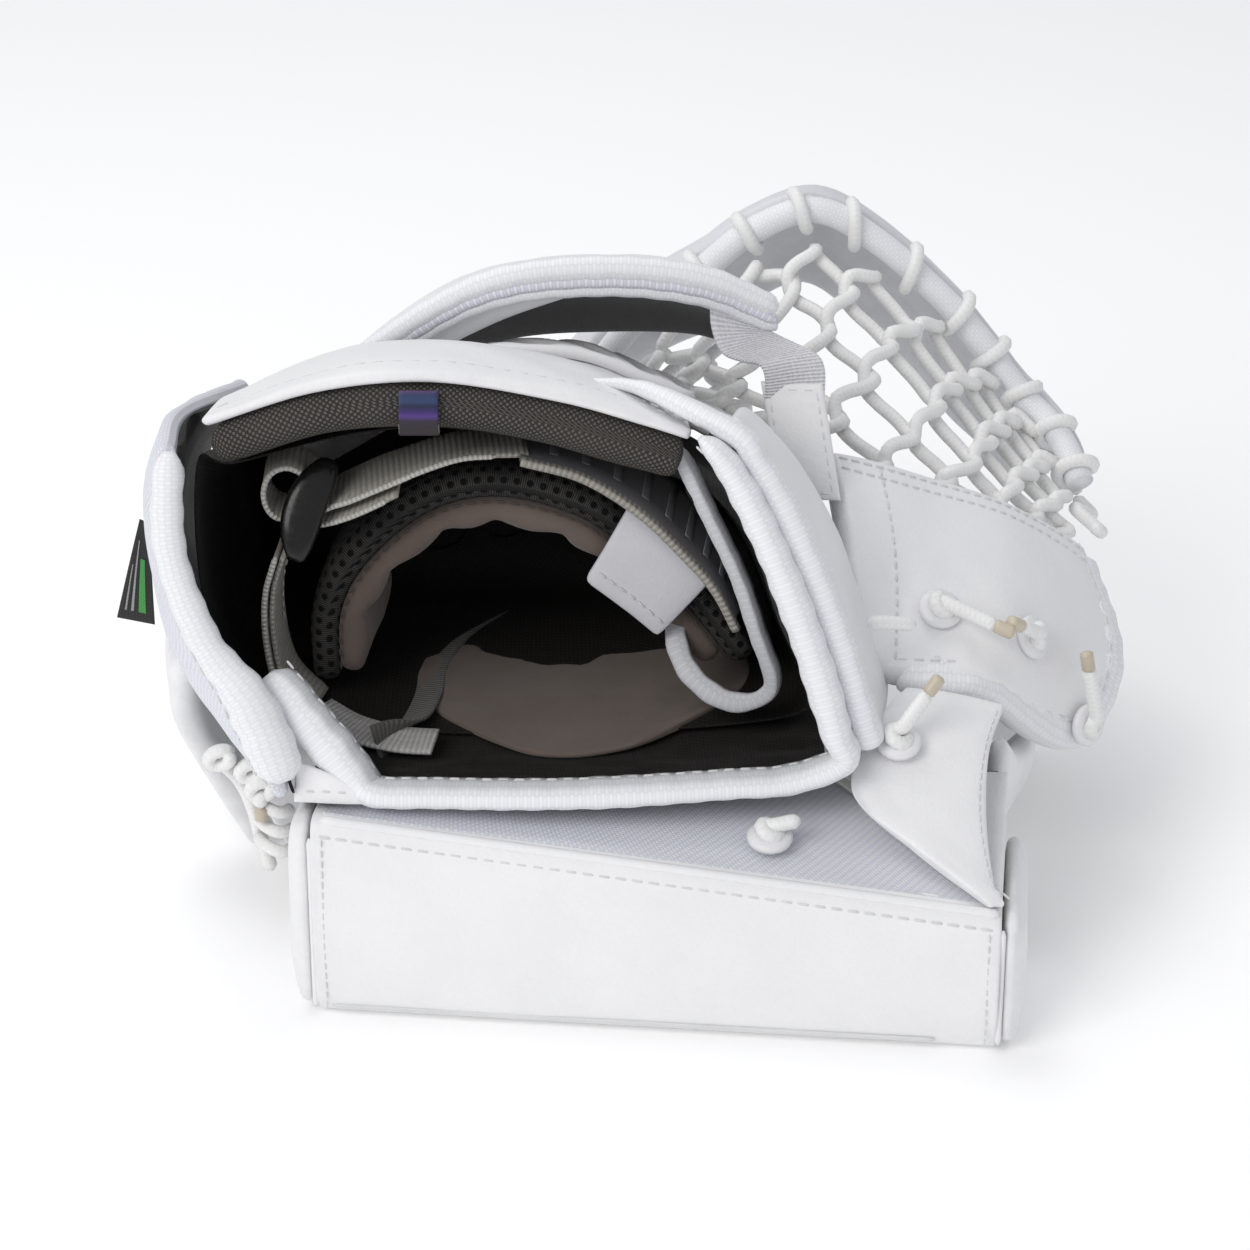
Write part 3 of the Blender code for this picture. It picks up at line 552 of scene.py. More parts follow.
def leather(name, base, shade, slot="white_leather", grain=1100.0):
    """Coated leather: pebble grain, faint clouds, and grey wear and dirt along the seams."""
    m = Nodes(name, slot, Coat_Weight=0.08, Coat_Roughness=0.35)
    pebble = m.pebbles(grain)
    clouds = m.noise(38.0, 4.0)
    fine = m.noise(900.0, 2.0)
    wear = m.times(m.seam(), m.ramp(m.noise(160.0, 4.0), 0.35, 0.7, 0.15, 0.75))
    colour = m.mix(m.ramp(clouds, 0.35, 0.75, 0.0, 0.5), base, shade)
    colour = m.mix(m.times(wear, 0.6), colour, dim(shade, 0.86))
    colour = m.mix(m.ramp(pebble, 0.0, 0.75, 0.0, 0.1), colour, dim(base, 0.8))
    height = m.plus(m.times(pebble, 0.7), m.times(fine, 0.45))
    height = m.plus(height, m.times(m.noise(210.0, 3.0), 0.9))
    rough = m.ramp(clouds, 0.3, 0.7, 0.36, 0.52)
    return m.finish(colour, m.plus(rough, m.times(wear, 0.12)), height, 0.00022, 0.55)


def woven(name, base, thread, slot, pitch=0.0011, roughness=0.6, depth=0.00018, sheen=0.15,
          dirt=0.35, gap=0.55, shine=0.5):
    """Cloth with a plain weave of two tinted threads."""
    m = Nodes(name, slot, roughness, Sheen_Weight=sheen, Sheen_Roughness=0.4,
              Specular_IOR_Level=shine)
    height, over = m.threads(pitch)
    colour = m.mix(m.times(over, 0.8), base, thread)
    colour = m.mix(m.ramp(height, 0.0, 0.8, gap, 0.0), colour, dim(thread, 0.55))
    cloud = m.ramp(m.noise(55.0, 4.0), 0.35, 0.75, 0.0, 0.18)
    colour = m.mix(cloud, colour, dim(base, 0.82))
    colour = m.mix(m.times(m.seam(), dirt), colour, dim(base, 0.72))
    rough = m.ramp(height, 0.0, 1.0, roughness + 0.15, roughness - 0.08)
    return m.finish(colour, rough, height, depth, 0.7)


def spacer(name, base, light, pitch, hole):
    """Knitted spacer mesh: rows of round holes, each row shifted by half a hole."""
    m = Nodes(name, "spacer_mesh", 0.75, Sheen_Weight=0.04, Sheen_Roughness=0.5,
              Specular_IOR_Level=0.22)
    across, down = m.weave_place()
    y = m.math("DIVIDE", down, pitch * ROW_SPACING)
    row = m.math("FLOOR", y)
    shift = m.times(m.math("ABSOLUTE", m.math("MODULO", row, 2.0)), 0.5)
    x = m.plus(m.math("DIVIDE", across, pitch), shift)
    dx = m.math("SUBTRACT", m.math("FRACT", x), 0.5)
    dy = m.times(m.math("SUBTRACT", m.math("FRACT", y), 0.5), ROW_SPACING)
    d = m.math("SQRT", m.plus(m.times(dx, dx), m.times(dy, dy)))
    yarn = m.times(m.plus(m.sine(m.times(x, YARN_WAVE)), 1.0), 0.5)
    rim = m.ramp(d, hole * 0.7, hole * 1.25)
    colour = m.mix(rim, dim(base, 0.25), base)
    colour = m.mix(m.times(m.times(rim, yarn), 0.55), colour, light)
    colour = m.mix(m.ramp(m.noise(70.0), 0.4, 0.7, 0.0, 0.35), colour, dim(base, 0.6))
    height = m.plus(rim, m.times(yarn, 0.12))
    return m.finish(colour, None, height, 0.0008, 0.8)


def ribbed(name, base, slot, pitch=0.0018, across=0.0031):
    """Webbing: ribs across the strap and faint rows along it."""
    m = Nodes(name, slot, 0.7, Sheen_Weight=0.2, Sheen_Roughness=0.4)
    ribs, rows = (m.sine(m.times(place, math.tau / each))
                  for place, each in zip(m.weave_place(), (pitch, across)))
    height = m.plus(m.times(ribs, 0.9), m.times(rows, 0.15))
    fuzz = m.noise(1500.0, 2.0)
    colour = m.mix(m.ramp(height, -1.0, 1.0, 0.75, 0.0), base, dim(base, 0.5))
    colour = m.mix(m.ramp(fuzz, 0.4, 0.7, 0.0, 0.35), colour, [min(c * 1.35, 1) for c in base])
    return m.finish(colour, None, m.plus(height, fuzz), 0.00025, 0.7)


def banded(name, slot, length, stops):
    """Satin ribbon woven in bands of colour that run across it."""
    m = Nodes(name, slot, 0.38, Sheen_Weight=0.4, Sheen_Roughness=0.3)
    share = m.math("DIVIDE", m.math("ABSOLUTE", m.weave_place()[1]), length)
    ramp = m.node("ShaderNodeValToRGB", {0: share})
    ramp.color_ramp.elements[0].color = (*stops[0][1], 1)
    ramp.color_ramp.elements[1].position, ramp.color_ramp.elements[1].color = 1, (*stops[-1][1], 1)
    for place, colour in stops[1:-1]:
        ramp.color_ramp.elements.new(place).color = (*colour, 1)
    height, over = m.threads(0.0005)
    colour = m.mix(m.times(over, 0.25), ramp.outputs[0], (0.0, 0.0, 0.0))
    return m.finish(colour, None, height, 0.00006, 0.5)


def braided(name, base):
    """Round lace: two sets of plaits that cross, and a little grime."""
    m = Nodes(name, "lace", 0.55, Sheen_Weight=0.15, Sheen_Roughness=0.4)
    plaits = [m.times(place, math.tau / pitch)
              for place, pitch in zip(m.weave_place(), (PLAIT_PITCH, PLAIT_TURN))]
    one, two = (m.sine(m.math(way, *plaits)) for way in ("ADD", "SUBTRACT"))
    height = m.math("MAXIMUM", one, two)
    grime = m.ramp(m.noise(140.0, 4.0), 0.45, 0.75, 0.0, 0.25)
    colour = m.mix(m.ramp(height, -0.4, 0.7, 0.16, 0.0), base, dim(base, 0.66))
    colour = m.mix(grime, colour, (base[0] * 0.90, base[1] * 0.88, base[2] * 0.84))
    return m.finish(colour, None, height, 0.00007, 0.5)


def plain(name, base, slot, roughness=0.5, grain=600.0, depth=0.00008, vary=0.25, **fixed):
    """Moulded or cut material with a fine grain and slight clouding."""
    m = Nodes(name, slot, roughness, **fixed)
    fine = m.noise(grain, 3.0)
    colour = m.mix(m.ramp(m.noise(60.0, 4.0), 0.35, 0.7, 0.0, vary), base, dim(base, 0.7))
    rough = m.ramp(fine, 0.3, 0.7, max(roughness - 0.08, 0.05), min(roughness + 0.1, 1.0))
    return m.finish(colour, rough, fine, depth, 0.6)


LEATHER = leather("white_leather_look", (0.87, 0.87, 0.875), (0.79, 0.79, 0.81))
# Painted shade: a darker grey copy of the white leather, standing in for white leather that lies
# in shadow.
SHADOWED_LEATHER = leather("shadowed_leather_look", (0.66, 0.66, 0.69), (0.56, 0.56, 0.60))
# Painted shade: a darker lavender-grey copy of the white leather, for the pocket band's shaded
# inner wall.
SHADED_BAND_LEATHER = leather("band_painted_shade_leather_look", (0.74, 0.74, 0.77), (0.66, 0.66, 0.70))
RAW = plain("raw_edge_look", (0.70, 0.68, 0.64), "white_leather", 0.9, 1400.0, 0.0003)
NYLON = woven("white_nylon_look", (0.84, 0.85, 0.88), (0.66, 0.69, 0.80), "white_nylon")
TAPE = woven("tape_look", (0.88, 0.885, 0.905), (0.83, 0.84, 0.88), "white_nylon", 0.00115, 0.5,
             0.00007, gap=0.30)
# Painted shade: a darker grey copy of the white tape, for tape that lies in shadow.
SHADOWED_TAPE = woven("shadowed_tape_look", (0.62, 0.625, 0.65), (0.56, 0.565, 0.60), "white_nylon",
                   0.00115, 0.55, 0.00007, gap=0.30)
LINING = woven("black_lining_look", (0.007, 0.006, 0.005), (0.018, 0.015, 0.013), "black_lining",
               0.0010, 0.6, 0.0002, 0.06, shine=0.25)
BLACK_CLOTH = woven("black_cloth_look", (0.012, 0.012, 0.012), (0.02, 0.02, 0.02), "black_lining",
                    0.0007, 0.7, 0.00012, 0.2)
AIR_MESH = spacer("air_mesh_look", (0.006, 0.0055, 0.0055), (0.155, 0.148, 0.14), 0.0043, 0.26)
ROLL_MESH = woven("roll_mesh_look", (0.125, 0.117, 0.104), (0.003, 0.003, 0.003), "spacer_mesh",
                  0.00095, 0.6, 0.00025, 0.04, dirt=0.1, gap=0.97, shine=0.12)
SUEDE = plain("suede_look", (0.150, 0.115, 0.096), "suede", 0.92, 1800.0, 0.0003, 0.45,
              Sheen_Weight=0.25, Sheen_Roughness=0.5)
WEB = ribbed("webbing_look", (0.37, 0.355, 0.315), "webbing")
WEB_EDGE = ribbed("webbing_edge_look", (0.52, 0.51, 0.47), "webbing", 0.0015, 0.0015)
RUBBER = plain("rubber_look", (0.105, 0.105, 0.112), "rubber_patch", 0.33, 900.0, 0.0001, 0.3,
               Coat_Weight=0.2, Coat_Roughness=0.25)
PLASTIC = plain("slide_look", (0.005, 0.005, 0.005), "black_plastic", 0.24, 500.0, 0.00002,
                Specular_IOR_Level=0.4)
ELASTIC = ribbed("elastic_look", (0.76, 0.75, 0.80), "elastic", 0.0011, 0.0016)
RIBBON = banded("ribbon_look", "ribbon", 0.0115, (
    (0.0, (0.10, 0.03, 0.16)), (0.12, (0.012, 0.03, 0.10)), (0.30, (0.02, 0.045, 0.14)),
    (0.42, (0.010, 0.012, 0.05)), (0.55, (0.03, 0.015, 0.13)), (0.68, (0.08, 0.03, 0.23)),
    (0.80, (0.02, 0.008, 0.03)), (1.0, (0.010, 0.006, 0.010))))
RIBBON_END = woven("ribbon_end_look", (0.34, 0.35, 0.38), (0.24, 0.25, 0.28), "ribbon", 0.0008)
GREY_TAPE = ribbed("grey_tape_look", (0.10, 0.095, 0.09), "suede", 0.0016, 0.0016)
PALE_WEB = ribbed("pale_webbing_look", (0.50, 0.49, 0.48), "webbing", 0.0016)
LABEL = woven("label_look", (0.012, 0.012, 0.012), (0.03, 0.03, 0.03), "label_cloth", 0.0006)
LABEL_MARK = woven("label_mark_look", (0.05, 0.30, 0.06), (0.10, 0.42, 0.10), "label_cloth",
                   0.0006)
LABEL_LINE = woven("label_line_look", (0.38, 0.38, 0.38), (0.25, 0.25, 0.25), "label_cloth",
                   0.0006)
LACES = braided("lace_look", (0.86, 0.86, 0.85))
TIP = plain("lace_tip_look", (0.60, 0.53, 0.42), "lace", 0.35, 400.0, 0.0001, 0.5)
WASHER = leather("washer_look", (0.83, 0.83, 0.84), (0.74, 0.74, 0.75), "lace", 900.0)
THREAD = plain("thread_look", (0.74, 0.74, 0.74), "white_nylon", 0.7, 3000.0, 0.0001)
DARK_THREAD = plain("dark_thread_look", (0.075, 0.062, 0.054), "suede", 0.8, 3000.0, 0.0001)
GREY_THREAD = plain("grey_thread_look", (0.42, 0.41, 0.40), "suede", 0.7, 3000.0, 0.0001)
RELIEF = plain("relief_look", (0.88, 0.88, 0.89), "moulded_relief", 0.32, 700.0, 0.00006, 0.2,
               Coat_Weight=0.2, Coat_Roughness=0.2)
FOAM = plain("foam_look", (0.70, 0.70, 0.66), "foam", 0.95, 1500.0, 0.0003)
BOARD = plain("board_look", (0.12, 0.12, 0.13), "stiff_plastic", 0.5, 800.0)


# Stage, light and camera

def facing(place, aim):
    """The turn of a lamp or camera at one place that looks at another."""
    return Vector(np.subtract(aim, place)).to_track_quat("-Z", "Y").to_euler()


def light(name, place, aim, power, size, colour=(1, 1, 1)):
    data = bpy.data.lights.new(name, "AREA")
    data.energy = power
    data.size = size
    data.color = colour
    lamp = bpy.data.objects.new(name, data)
    lamp.location = place
    lamp.rotation_euler = facing(place, aim)
    bpy.context.scene.collection.objects.link(lamp)


def build_stage():
    floor = bpy.data.meshes.new("floor")
    corners = ((-1, -1), (1, -1), (1, 1), (-1, 1))
    floor.from_pydata([(x * FLOOR_HALF, y * FLOOR_HALF, 0) for x, y in corners], [],
                      [(0, 1, 2, 3)])
    paper = Nodes("floor_look", "white_nylon", 0.9)
    paper.shader.inputs["Emission Color"].default_value = (1, 1, 1, 1)
    paper.shader.inputs["Emission Strength"].default_value = PAPER_GLOW
    floor.materials.append(paper.finish((0.95, 0.95, 0.95)))
    board = bpy.data.objects.new("floor", floor)
    board.location = (0, 0, -FLOOR_DROP)
    bpy.context.scene.collection.objects.link(board)
    world = bpy.data.worlds.new("studio")
    bpy.context.scene.world = world
    world.use_nodes = True
    sky = world.node_tree.nodes["Background"]
    sky.inputs["Color"].default_value = (0.95, 0.96, 1.0, 1.0)
    sky.inputs["Strength"].default_value = SKY_LIGHT
    light("key", (-0.9, -1.2, 1.2), (0, 0, 0.08), 13.0, 1.0, (1.0, 0.985, 0.965))
    light("top", (-0.4, 0.5, 1.6), (0, 0, 0.1), 6.5, 0.9)
    bpy.context.scene.view_settings.view_transform = "Standard"


def build_camera():
    data = bpy.data.cameras.new("camera")
    data.sensor_width = SENSOR
    data.lens = LENS
    camera = bpy.data.objects.new("camera", data)
    camera.location = EYE * MM - SHIFT
    camera.rotation_euler = facing(EYE, AIM)
    bpy.context.scene.collection.objects.link(camera)
    bpy.context.scene.camera = camera


build_camera()
build_stage()


# The glove's shared surfaces, as in the CAD part

FLOOR = surface([
    [(-92, -90, 73), (-16, -92, 73), (60, -87, 76)],
    [(-96, -40, 70), (-20, -40, 69), (60, -40, 73)],
    [(-96, 44, 68), (-20, 44, 69), (48, 44, 74)],
])
LEFT_WALL = surface([
    [(-99, -91, 73), (-109, -86, 102), (-122, -81, 121), (-131, -74, 146), (-131, -64, 174)],
    [(-108, -48, 71), (-131, -40, 98), (-137, -38, 122), (-138, -34, 148), (-131, -28, 170)],
    [(-112, 62, 72), (-136, 62, 92), (-140, 62, 112), (-135, 62, 130), (-122, 62, 142)],
])
RIGHT_SIDE = surface([
    [(-6, -66, 190), (24, -70, 184), (38, -74, 168), (50, -80, 144), (60, -84, 118),
     (68, -88, 92), (72, -88, 77)],
    [(-4, -40, 181), (27, -40, 174), (42, -40, 160), (55, -40, 138), (65, -40, 114),
     (74, -40, 90), (78, -40, 74)],
    [(-2, -14, 172), (29, -12, 164), (44, -12, 152), (57, -12, 132), (66, -12, 110),
     (75, -12, 88), (80, -12, 72)],
])
BACK_TOP = surface([
    [(-124, -61, 178), (-90, -61, 189), (-56, -61, 192), (-20, -61, 186), (4, -61, 179),
     (19, -61, 174)],
    [(-122, -28, 171), (-89, -28, 183), (-57, -28, 187), (-21, -28, 181), (3, -28, 173),
     (17, -28, 167)],
    [(-118, 4, 160), (-88, 4, 171), (-58, 4, 176), (-22, 4, 171), (1, 4, 162), (15, 4, 155)],
])
HAND_BACK = surface([
    [(-114, 9, 148), (-62, 9, 170), (-20, 9, 173), (6, 9, 164), (26, 9, 154), (44, 9, 142)],
    [(-108, 46, 128), (-62, 46, 154), (-20, 46, 160), (6, 42, 153), (26, 36, 146), (45, 30, 136)],
    [(-102, 86, 98), (-60, 86, 120), (-20, 82, 134), (6, 72, 138), (24, 62, 138), (44, 50, 128)],
])
BACKHAND = surface([
    [(-90, 22, 168), (-61, 20, 189), (-37, 18, 200), (-4, 18, 203), (26, 19, 199), (49, 22, 188)],
    [(-94, 56, 153), (-62, 56, 174), (-37, 56, 184), (-4, 56, 186), (25, 56, 182), (46, 56, 172)],
    [(-98, 88, 130), (-62, 90, 149), (-37, 90, 158), (-4, 88, 161), (24, 80, 163), (42, 70, 161)],
])
HAND_ARCH = surface([
    [(-98, -30, 80), (-97, -30, 106), (-86, -30, 127), (-64, -30, 146), (-40, -30, 152),
     (-14, -30, 146), (4, -30, 134), (24, -30, 114), (42, -30, 90)],
    [(-96, 0, 78), (-95, 0, 104), (-84, 0, 124), (-63, 0, 141), (-40, 0, 147),
     (-14, 0, 141), (4, 0, 130), (23, 0, 111), (41, 0, 88)],
    [(-94, 30, 76), (-92, 30, 100), (-82, 30, 118), (-62, 30, 134), (-40, 30, 139),
     (-14, 30, 134), (3, 30, 124), (22, 30, 107), (39, 30, 86)],
])
THUMB_ROWS = [
    [(83, -46, 90), (84, -16, 115), (80, 18, 137)],
    [(95, -48, 91), (98, -16, 112), (98, 24, 129)],
    [(112, -46, 88), (120, -12, 105), (120, 30, 119)],
    [(130, -30, 66), (142, -4, 88), (138, 38, 107)],
    [(148, -16, 50), (160, 4, 72), (152, 42, 96)],
]
THUMB_BACK = surface(THUMB_ROWS)
THUMB_SKIN = surface([[(72, -44, 98), (70, -16, 124), (64, 18, 140.5)]] + THUMB_ROWS)
ROLL_LINE = [
    (-26, 132, 92), (-14, 128, 120), (4, 122, 147), (26, 119, 166), (43, 119, 180), (64, 120, 187),
    (85, 120, 176), (109, 118, 155), (123, 115, 139), (135, 108, 125), (147, 95, 115),
    (153, 80, 104),
]
ROLL_MIDDLE = np.array((64.0, 120.0, 110.0))
NET = surface([
    [(-6, 110, 120), (14, 109, 147), (38, 107, 168), (62, 107, 177), (86, 107, 165),
     (110, 105, 144), (128, 99, 125), (142, 86, 111)],
    [(-2, 100, 122), (20, 88, 138), (42, 80, 145), (65, 76, 154), (90, 76, 148),
     (113, 76, 131), (131, 74, 116), (145, 69, 105)],
    [(4, 90, 130), (26, 71, 132), (48, 54, 132), (70, 37, 134), (96, 37, 127),
     (118, 43, 116), (134, 50, 106), (147, 54, 98)],
    [(10, 84, 112), (30, 62, 112), (52, 44, 113), (71, 34, 116), (96, 37, 109),
     (118, 43, 101), (134, 50, 93), (147, 54, 85)],
])
FAR_NET = surface([
    [(-4, 180, 84), (14, 182, 100), (34, 182, 116), (56, 183, 126)],
    [(-6, 150, 98), (8, 144, 102), (24, 140, 106), (44, 138, 110)],
    [(-12, 123, 103), (0, 118, 106), (16, 114, 108), (34, 110, 108)],
])


def band_at(u, v):
    """The pocket band: it leaves the roll level, then curves down and away from it."""
    p = curve(ROLL_LINE, u)
    out = p - ROLL_MIDDLE
    out[..., 1] = 0
    side = curve([(0, 0, 0), (18, 2, 0), (44, -3, -10), (66, -8, -34)], v)
    crest = curve([(0, -1.5, -1), (18, -4, -3), (44, -12, -15), (66, -18, -36)], v)
    path = side + np.clip((u - 0.1) / 0.2, 0, 1)[..., None] * (crest - side)
    move = np.stack([np.zeros_like(path[..., 0]), path[..., 0], path[..., 2]], -1)
    return p + move + unit(out) * (path[..., 1:2] + 1.5)


# Cuff

CUFF_HALF = 103.0
CUFF_DEPTH = 60.0
CUFF_BACK_TOP = 66.0
CUFF_YAW = math.radians(-6.3)
CUFF_FRONT = np.array((8.5, -109.0, 0.0))


def cuff_place(x, y, z):
    """A point of the cuff block, from its own length, depth and height."""
    return CUFF_FRONT + np.array((x * math.cos(CUFF_YAW) - y * math.sin(CUFF_YAW),
                                  x * math.sin(CUFF_YAW) + y * math.cos(CUFF_YAW), z))


def cuff_top(x):
    return 57.0 - 20.0 * x / (2 * CUFF_HALF)


def block_row(y, low, share):
    """A row along the block: y deep, at low plus a share of the front's height there."""
    return [cuff_place(x, y, low + share * cuff_top(x))
            for x in np.linspace(-CUFF_HALF, CUFF_HALF, 7)]


def build_cuff():
    block = surface([block_row(y, low, share) for y, low, share in (
        (CUFF_DEPTH, 0, 0), (32, 0, 0), (9, 0, 0), (2.2, 2.2, 0), (-0.6, 10, 0), (-2.2, 0, 0.5),
        (-0.6, -9, 1), (0.6, -2.5, 1), (4.5, 0, 1), (14, 0.15 * CUFF_BACK_TOP, 0.85),
        (34, 0.45 * CUFF_BACK_TOP, 0.55), (58, CUFF_BACK_TOP, 0))])

    def dents(a, b, fa, fb):
        front = np.exp(-((fb - 0.43) / 0.16) ** 2)
        return front * (0.5 * noise(a / 60, b / 45, 2) + 0.25 * noise(a / 22, b / 18, 4))

    Pad(block, -2.2, 0, edge=1.1, step=2.2, bump=dents).build(
        "cuff_block", LEATHER, "palm", ["cuff_cover"], fill=0.9)

    def front_line(y, start, end, count, height):
        return np.array([cuff_place(x, y, height(x)) for x in np.linspace(start, end, count)])

    seam = front_line(0.1, -CUFF_HALF + 2, CUFF_HALF - 2, 60, lambda x: cuff_top(x) - 4.6)
    stitches("cuff_top_stitches", seam, (0, -1, 0.2), "palm", pitch=4.9, length=3.6, radius=0.5,
             lift=0.1)
    fold = front_line(2.6, -CUFF_HALF + 3, CUFF_HALF - 1, 10, lambda x: cuff_top(x) - 0.3)
    cord_piece("cuff_top_fold", fold, 1.5, LEATHER, "palm")
    low = front_line(0.5, -98, 100, 40, lambda x: 4.0)
    cord_piece("cuff_low_seam", low[::4], 0.7, THREAD, "palm", sides=6)
    for side, name, node in ((-1, "cuff_end_left", "cuff_gusset_left"),
                             (1, "cuff_end_right", "cuff_gusset_right")):
        h = cuff_top(side * CUFF_HALF)
        end = surface([[cuff_place(side * (CUFF_HALF + 0.3), y, z) for y in (1, 20, 40, 60)]
                       for z in (1, 0.33 * h, 0.66 * h, h - 1)])
        gusset = Pad(end, 0, side * 5.5, edge=5.5, crown=4.0 if side < 0 else 2.0, corner=9,
                     step=2.4, bump=folded(0.5, 8))
        gusset.build(name, LEATHER, "palm", [node], fill=0.5)
        edge = np.array([cuff_place(side * (CUFF_HALF + 0.4), 1.2, z)
                         for z in np.linspace(3, h - 2, 30)])
        cord_piece(f"{name}_seam", edge[::3], 1.0, LEATHER, "palm", sides=8)
        line = np.array([cuff_place(side * (CUFF_HALF - 3.5), -0.6 - 1.2 * math.sin(t * math.pi),
                                    3 + (h - 8) * t) for t in even(30)])
        stitches(f"{name}_stitches", line, (0, -1, 0), "palm", pitch=3.4, length=2.3, radius=0.3,
                 lift=0.0)

    rows = []
    for share in (0.0, 0.5, 1.0):
        y = 6.0 + (CUFF_DEPTH - 6.0) * share
        left, right = -CUFF_HALF + 3 + 6 * share, 101.0 - 64.0 * share
        row = []
        for x in np.linspace(left, right, 5):
            h = cuff_top(x)
            row.append(cuff_place(x, y, h + (CUFF_BACK_TOP - h) * share + 0.5))
        rows.append(row)
    nylon = Pad(surface(rows), -1, 0.3, edge=0.6, step=2.6,
                bump=lambda a, b, fa, fb: 0.35 * noise(a / 30, b / 16, 6))
    nylon.build("cuff_nylon_panel", NYLON, "palm", ["cuff_top_panel"])
    raw = curve(np.array([row[-1] for row in rows]) + (0.9, 0, 0.7), even(30))
    raw = raw + even(30)[:, None] * (0, 0, 1.5)
    strip_outline = [(-1.3, -0.7), (1.3, -0.7), (1.4, 0.2), (0.9, 0.7), (-0.9, 0.7), (-1.4, 0.2)]
    sweep("cuff_raw_edge", raw, np.tile((1.0, 0.3, 0), (30, 1)), strip_outline, RAW, "palm")
    stitches("cuff_raw_stitches", raw + (3.6, 0.8, 0.6), (0.2, -0.3, 1), "palm", pitch=4.4,
             length=3.2)

    tip = cuff_place(CUFF_HALF - 4, 3, cuff_top(CUFF_HALF) + 1.0)
    heel = surface([
        [tip, tip + (2, 0.5, 0), tip + (4, 1, -0.4)],
        [(86, -101, 58), (98, -105, 54.5), (109, -108, 51)],
        [(68, -84, 69.5), (86, -86, 68), (108, -90, 63)],
        [(76, -64, 82), (94, -66, 80), (110, -70, 75)],
        [(86, -50, 87), (100, -51, 85.5), (116, -52, 82)],
    ])
    flap = Pad(heel, 0.3, 2.4, edge=1.0, crown=1.2, corner=2, step=2.2,
               bump=lambda a, b, fa, fb: 0.8 * creases(a, b, 14) * np.clip(fb * 3 - 0.4, 0, 1))
    flap.build("heel_leather", LEATHER, "palm", ["heel_panel"])
    flap.along("heel_stitches", [0.94, 0.95], [0.06, 0.96], "palm", pitch=3.6, length=2.5,
               radius=0.34)
    gusset = surface([
        [(118.5, -54, 73), (122, -36, 60), (127, -14, 50), (135, 8, 44)],
        [(116, -52, 50), (120, -34, 42), (125, -12, 36), (134, 10, 34)],
        [(112, -48, 28), (116, -32, 24), (122, -10, 22), (132, 12, 24)],
    ])
    fold = Pad(gusset, 6, 0, edge=3, crown=2.5, corner=6, step=2.4, bump=folded(1.1, 11))
    fold.build("heel_fold", LEATHER, "thumb", ["heel_gusset"], fill=0.3)
    back = surface([[cuff_place(x, 61, z) for x in (-100, 0, 100)] for z in (2, 33, 64)])
    Pad(back, -1.5, 1.5, edge=1.5, crown=-4, step=4).build("cuff_back_wall", BLACK_CLOTH, "palm")


def washer(name, middle, axis, body, node, tail, tip=True):
    """A leather washer with a lace knotted on it, and the lace's tail."""
    axis = unit(np.array(axis, float))
    middle = np.array(middle, float)
    side = carried(np.array([middle, middle + axis]), (0.2, 0.9, 0.3))[0]
    other = np.cross(axis, side)
    profile = [(1.2, 0.7), (2.6, 1.6), (4.4, 1.5), (6.2, 1.15), (WASHER_RADIUS, 0.2), (6.7, -1.1),
               (2.0, -1.4)]
    n = WASHER_SIDES
    verts = [middle + axis * 0.5]
    for r, h in profile:
        for t in np.arange(n) * math.tau / n:
            verts.append(middle + axis * h + r * (math.cos(t) * side + math.sin(t) * other))
    faces = [(0, 1 + k, 1 + (k + 1) % n) for k in range(n)]
    for i in range(len(profile) - 1):
        for k in range(n):
            a = 1 + n * i + k
            b = 1 + n * i + (k + 1) % n
            faces.append((a, a + n, b + n, b))
    faces.append(tuple(1 + n * (len(profile) - 1) + k for k in range(n)))
    make(name, verts, faces, WASHER, body, node)
    turn = np.linspace(0, 1.15 * math.tau, 16)[:, None]
    knot = middle + axis * (2.2 + 1.6 * np.sin(turn * 0.9)) + 2.6 * (
        np.cos(turn) * side + np.sin(turn) * other)
    tail = np.array(tail, float)
    top = middle + axis * 4.2
    path = np.concatenate([knot, [top + tail * far for far in (0.15, 0.4, 0.7, 1)]])
    cord_piece(f"{name}_lace", path, LACE, LACES, body)
    if tip:
        end = [top + tail + far * unit(tail) for far in (-1, 2, 4, 6)]
        cord_piece(f"{name}_tip", end, LACE * 0.95, TIP, body, step=0.8)


build_cuff()
washer("cuff_washer_a", cuff_place(33, 17, 61.0), (0, -0.25, 1), "palm", ["cuff_washer_front"],
       (9, 1, 1.5), tip=False)
washer("cuff_washer_b", (82.5, -75, 82.5), (-0.1, -0.5, 1), "palm", ["cuff_washer_side"],
       (9, 5, 11))


# Wrist opening

def binding_outline(half, back, front):
    """The outline of a tape folded over an edge: its round front and its two legs."""
    full = half + TAPE_TUCK
    end = half + TAPE_TUCK * 0.55
    arc = [(front * math.sin(t), full * math.cos(t))
           for t in np.linspace(0.25, math.pi - 0.25, 9)]
    return ([(-back, end), (-back * 0.5, full)] + arc + [(-back * 0.5, -full), (-back, -end)])


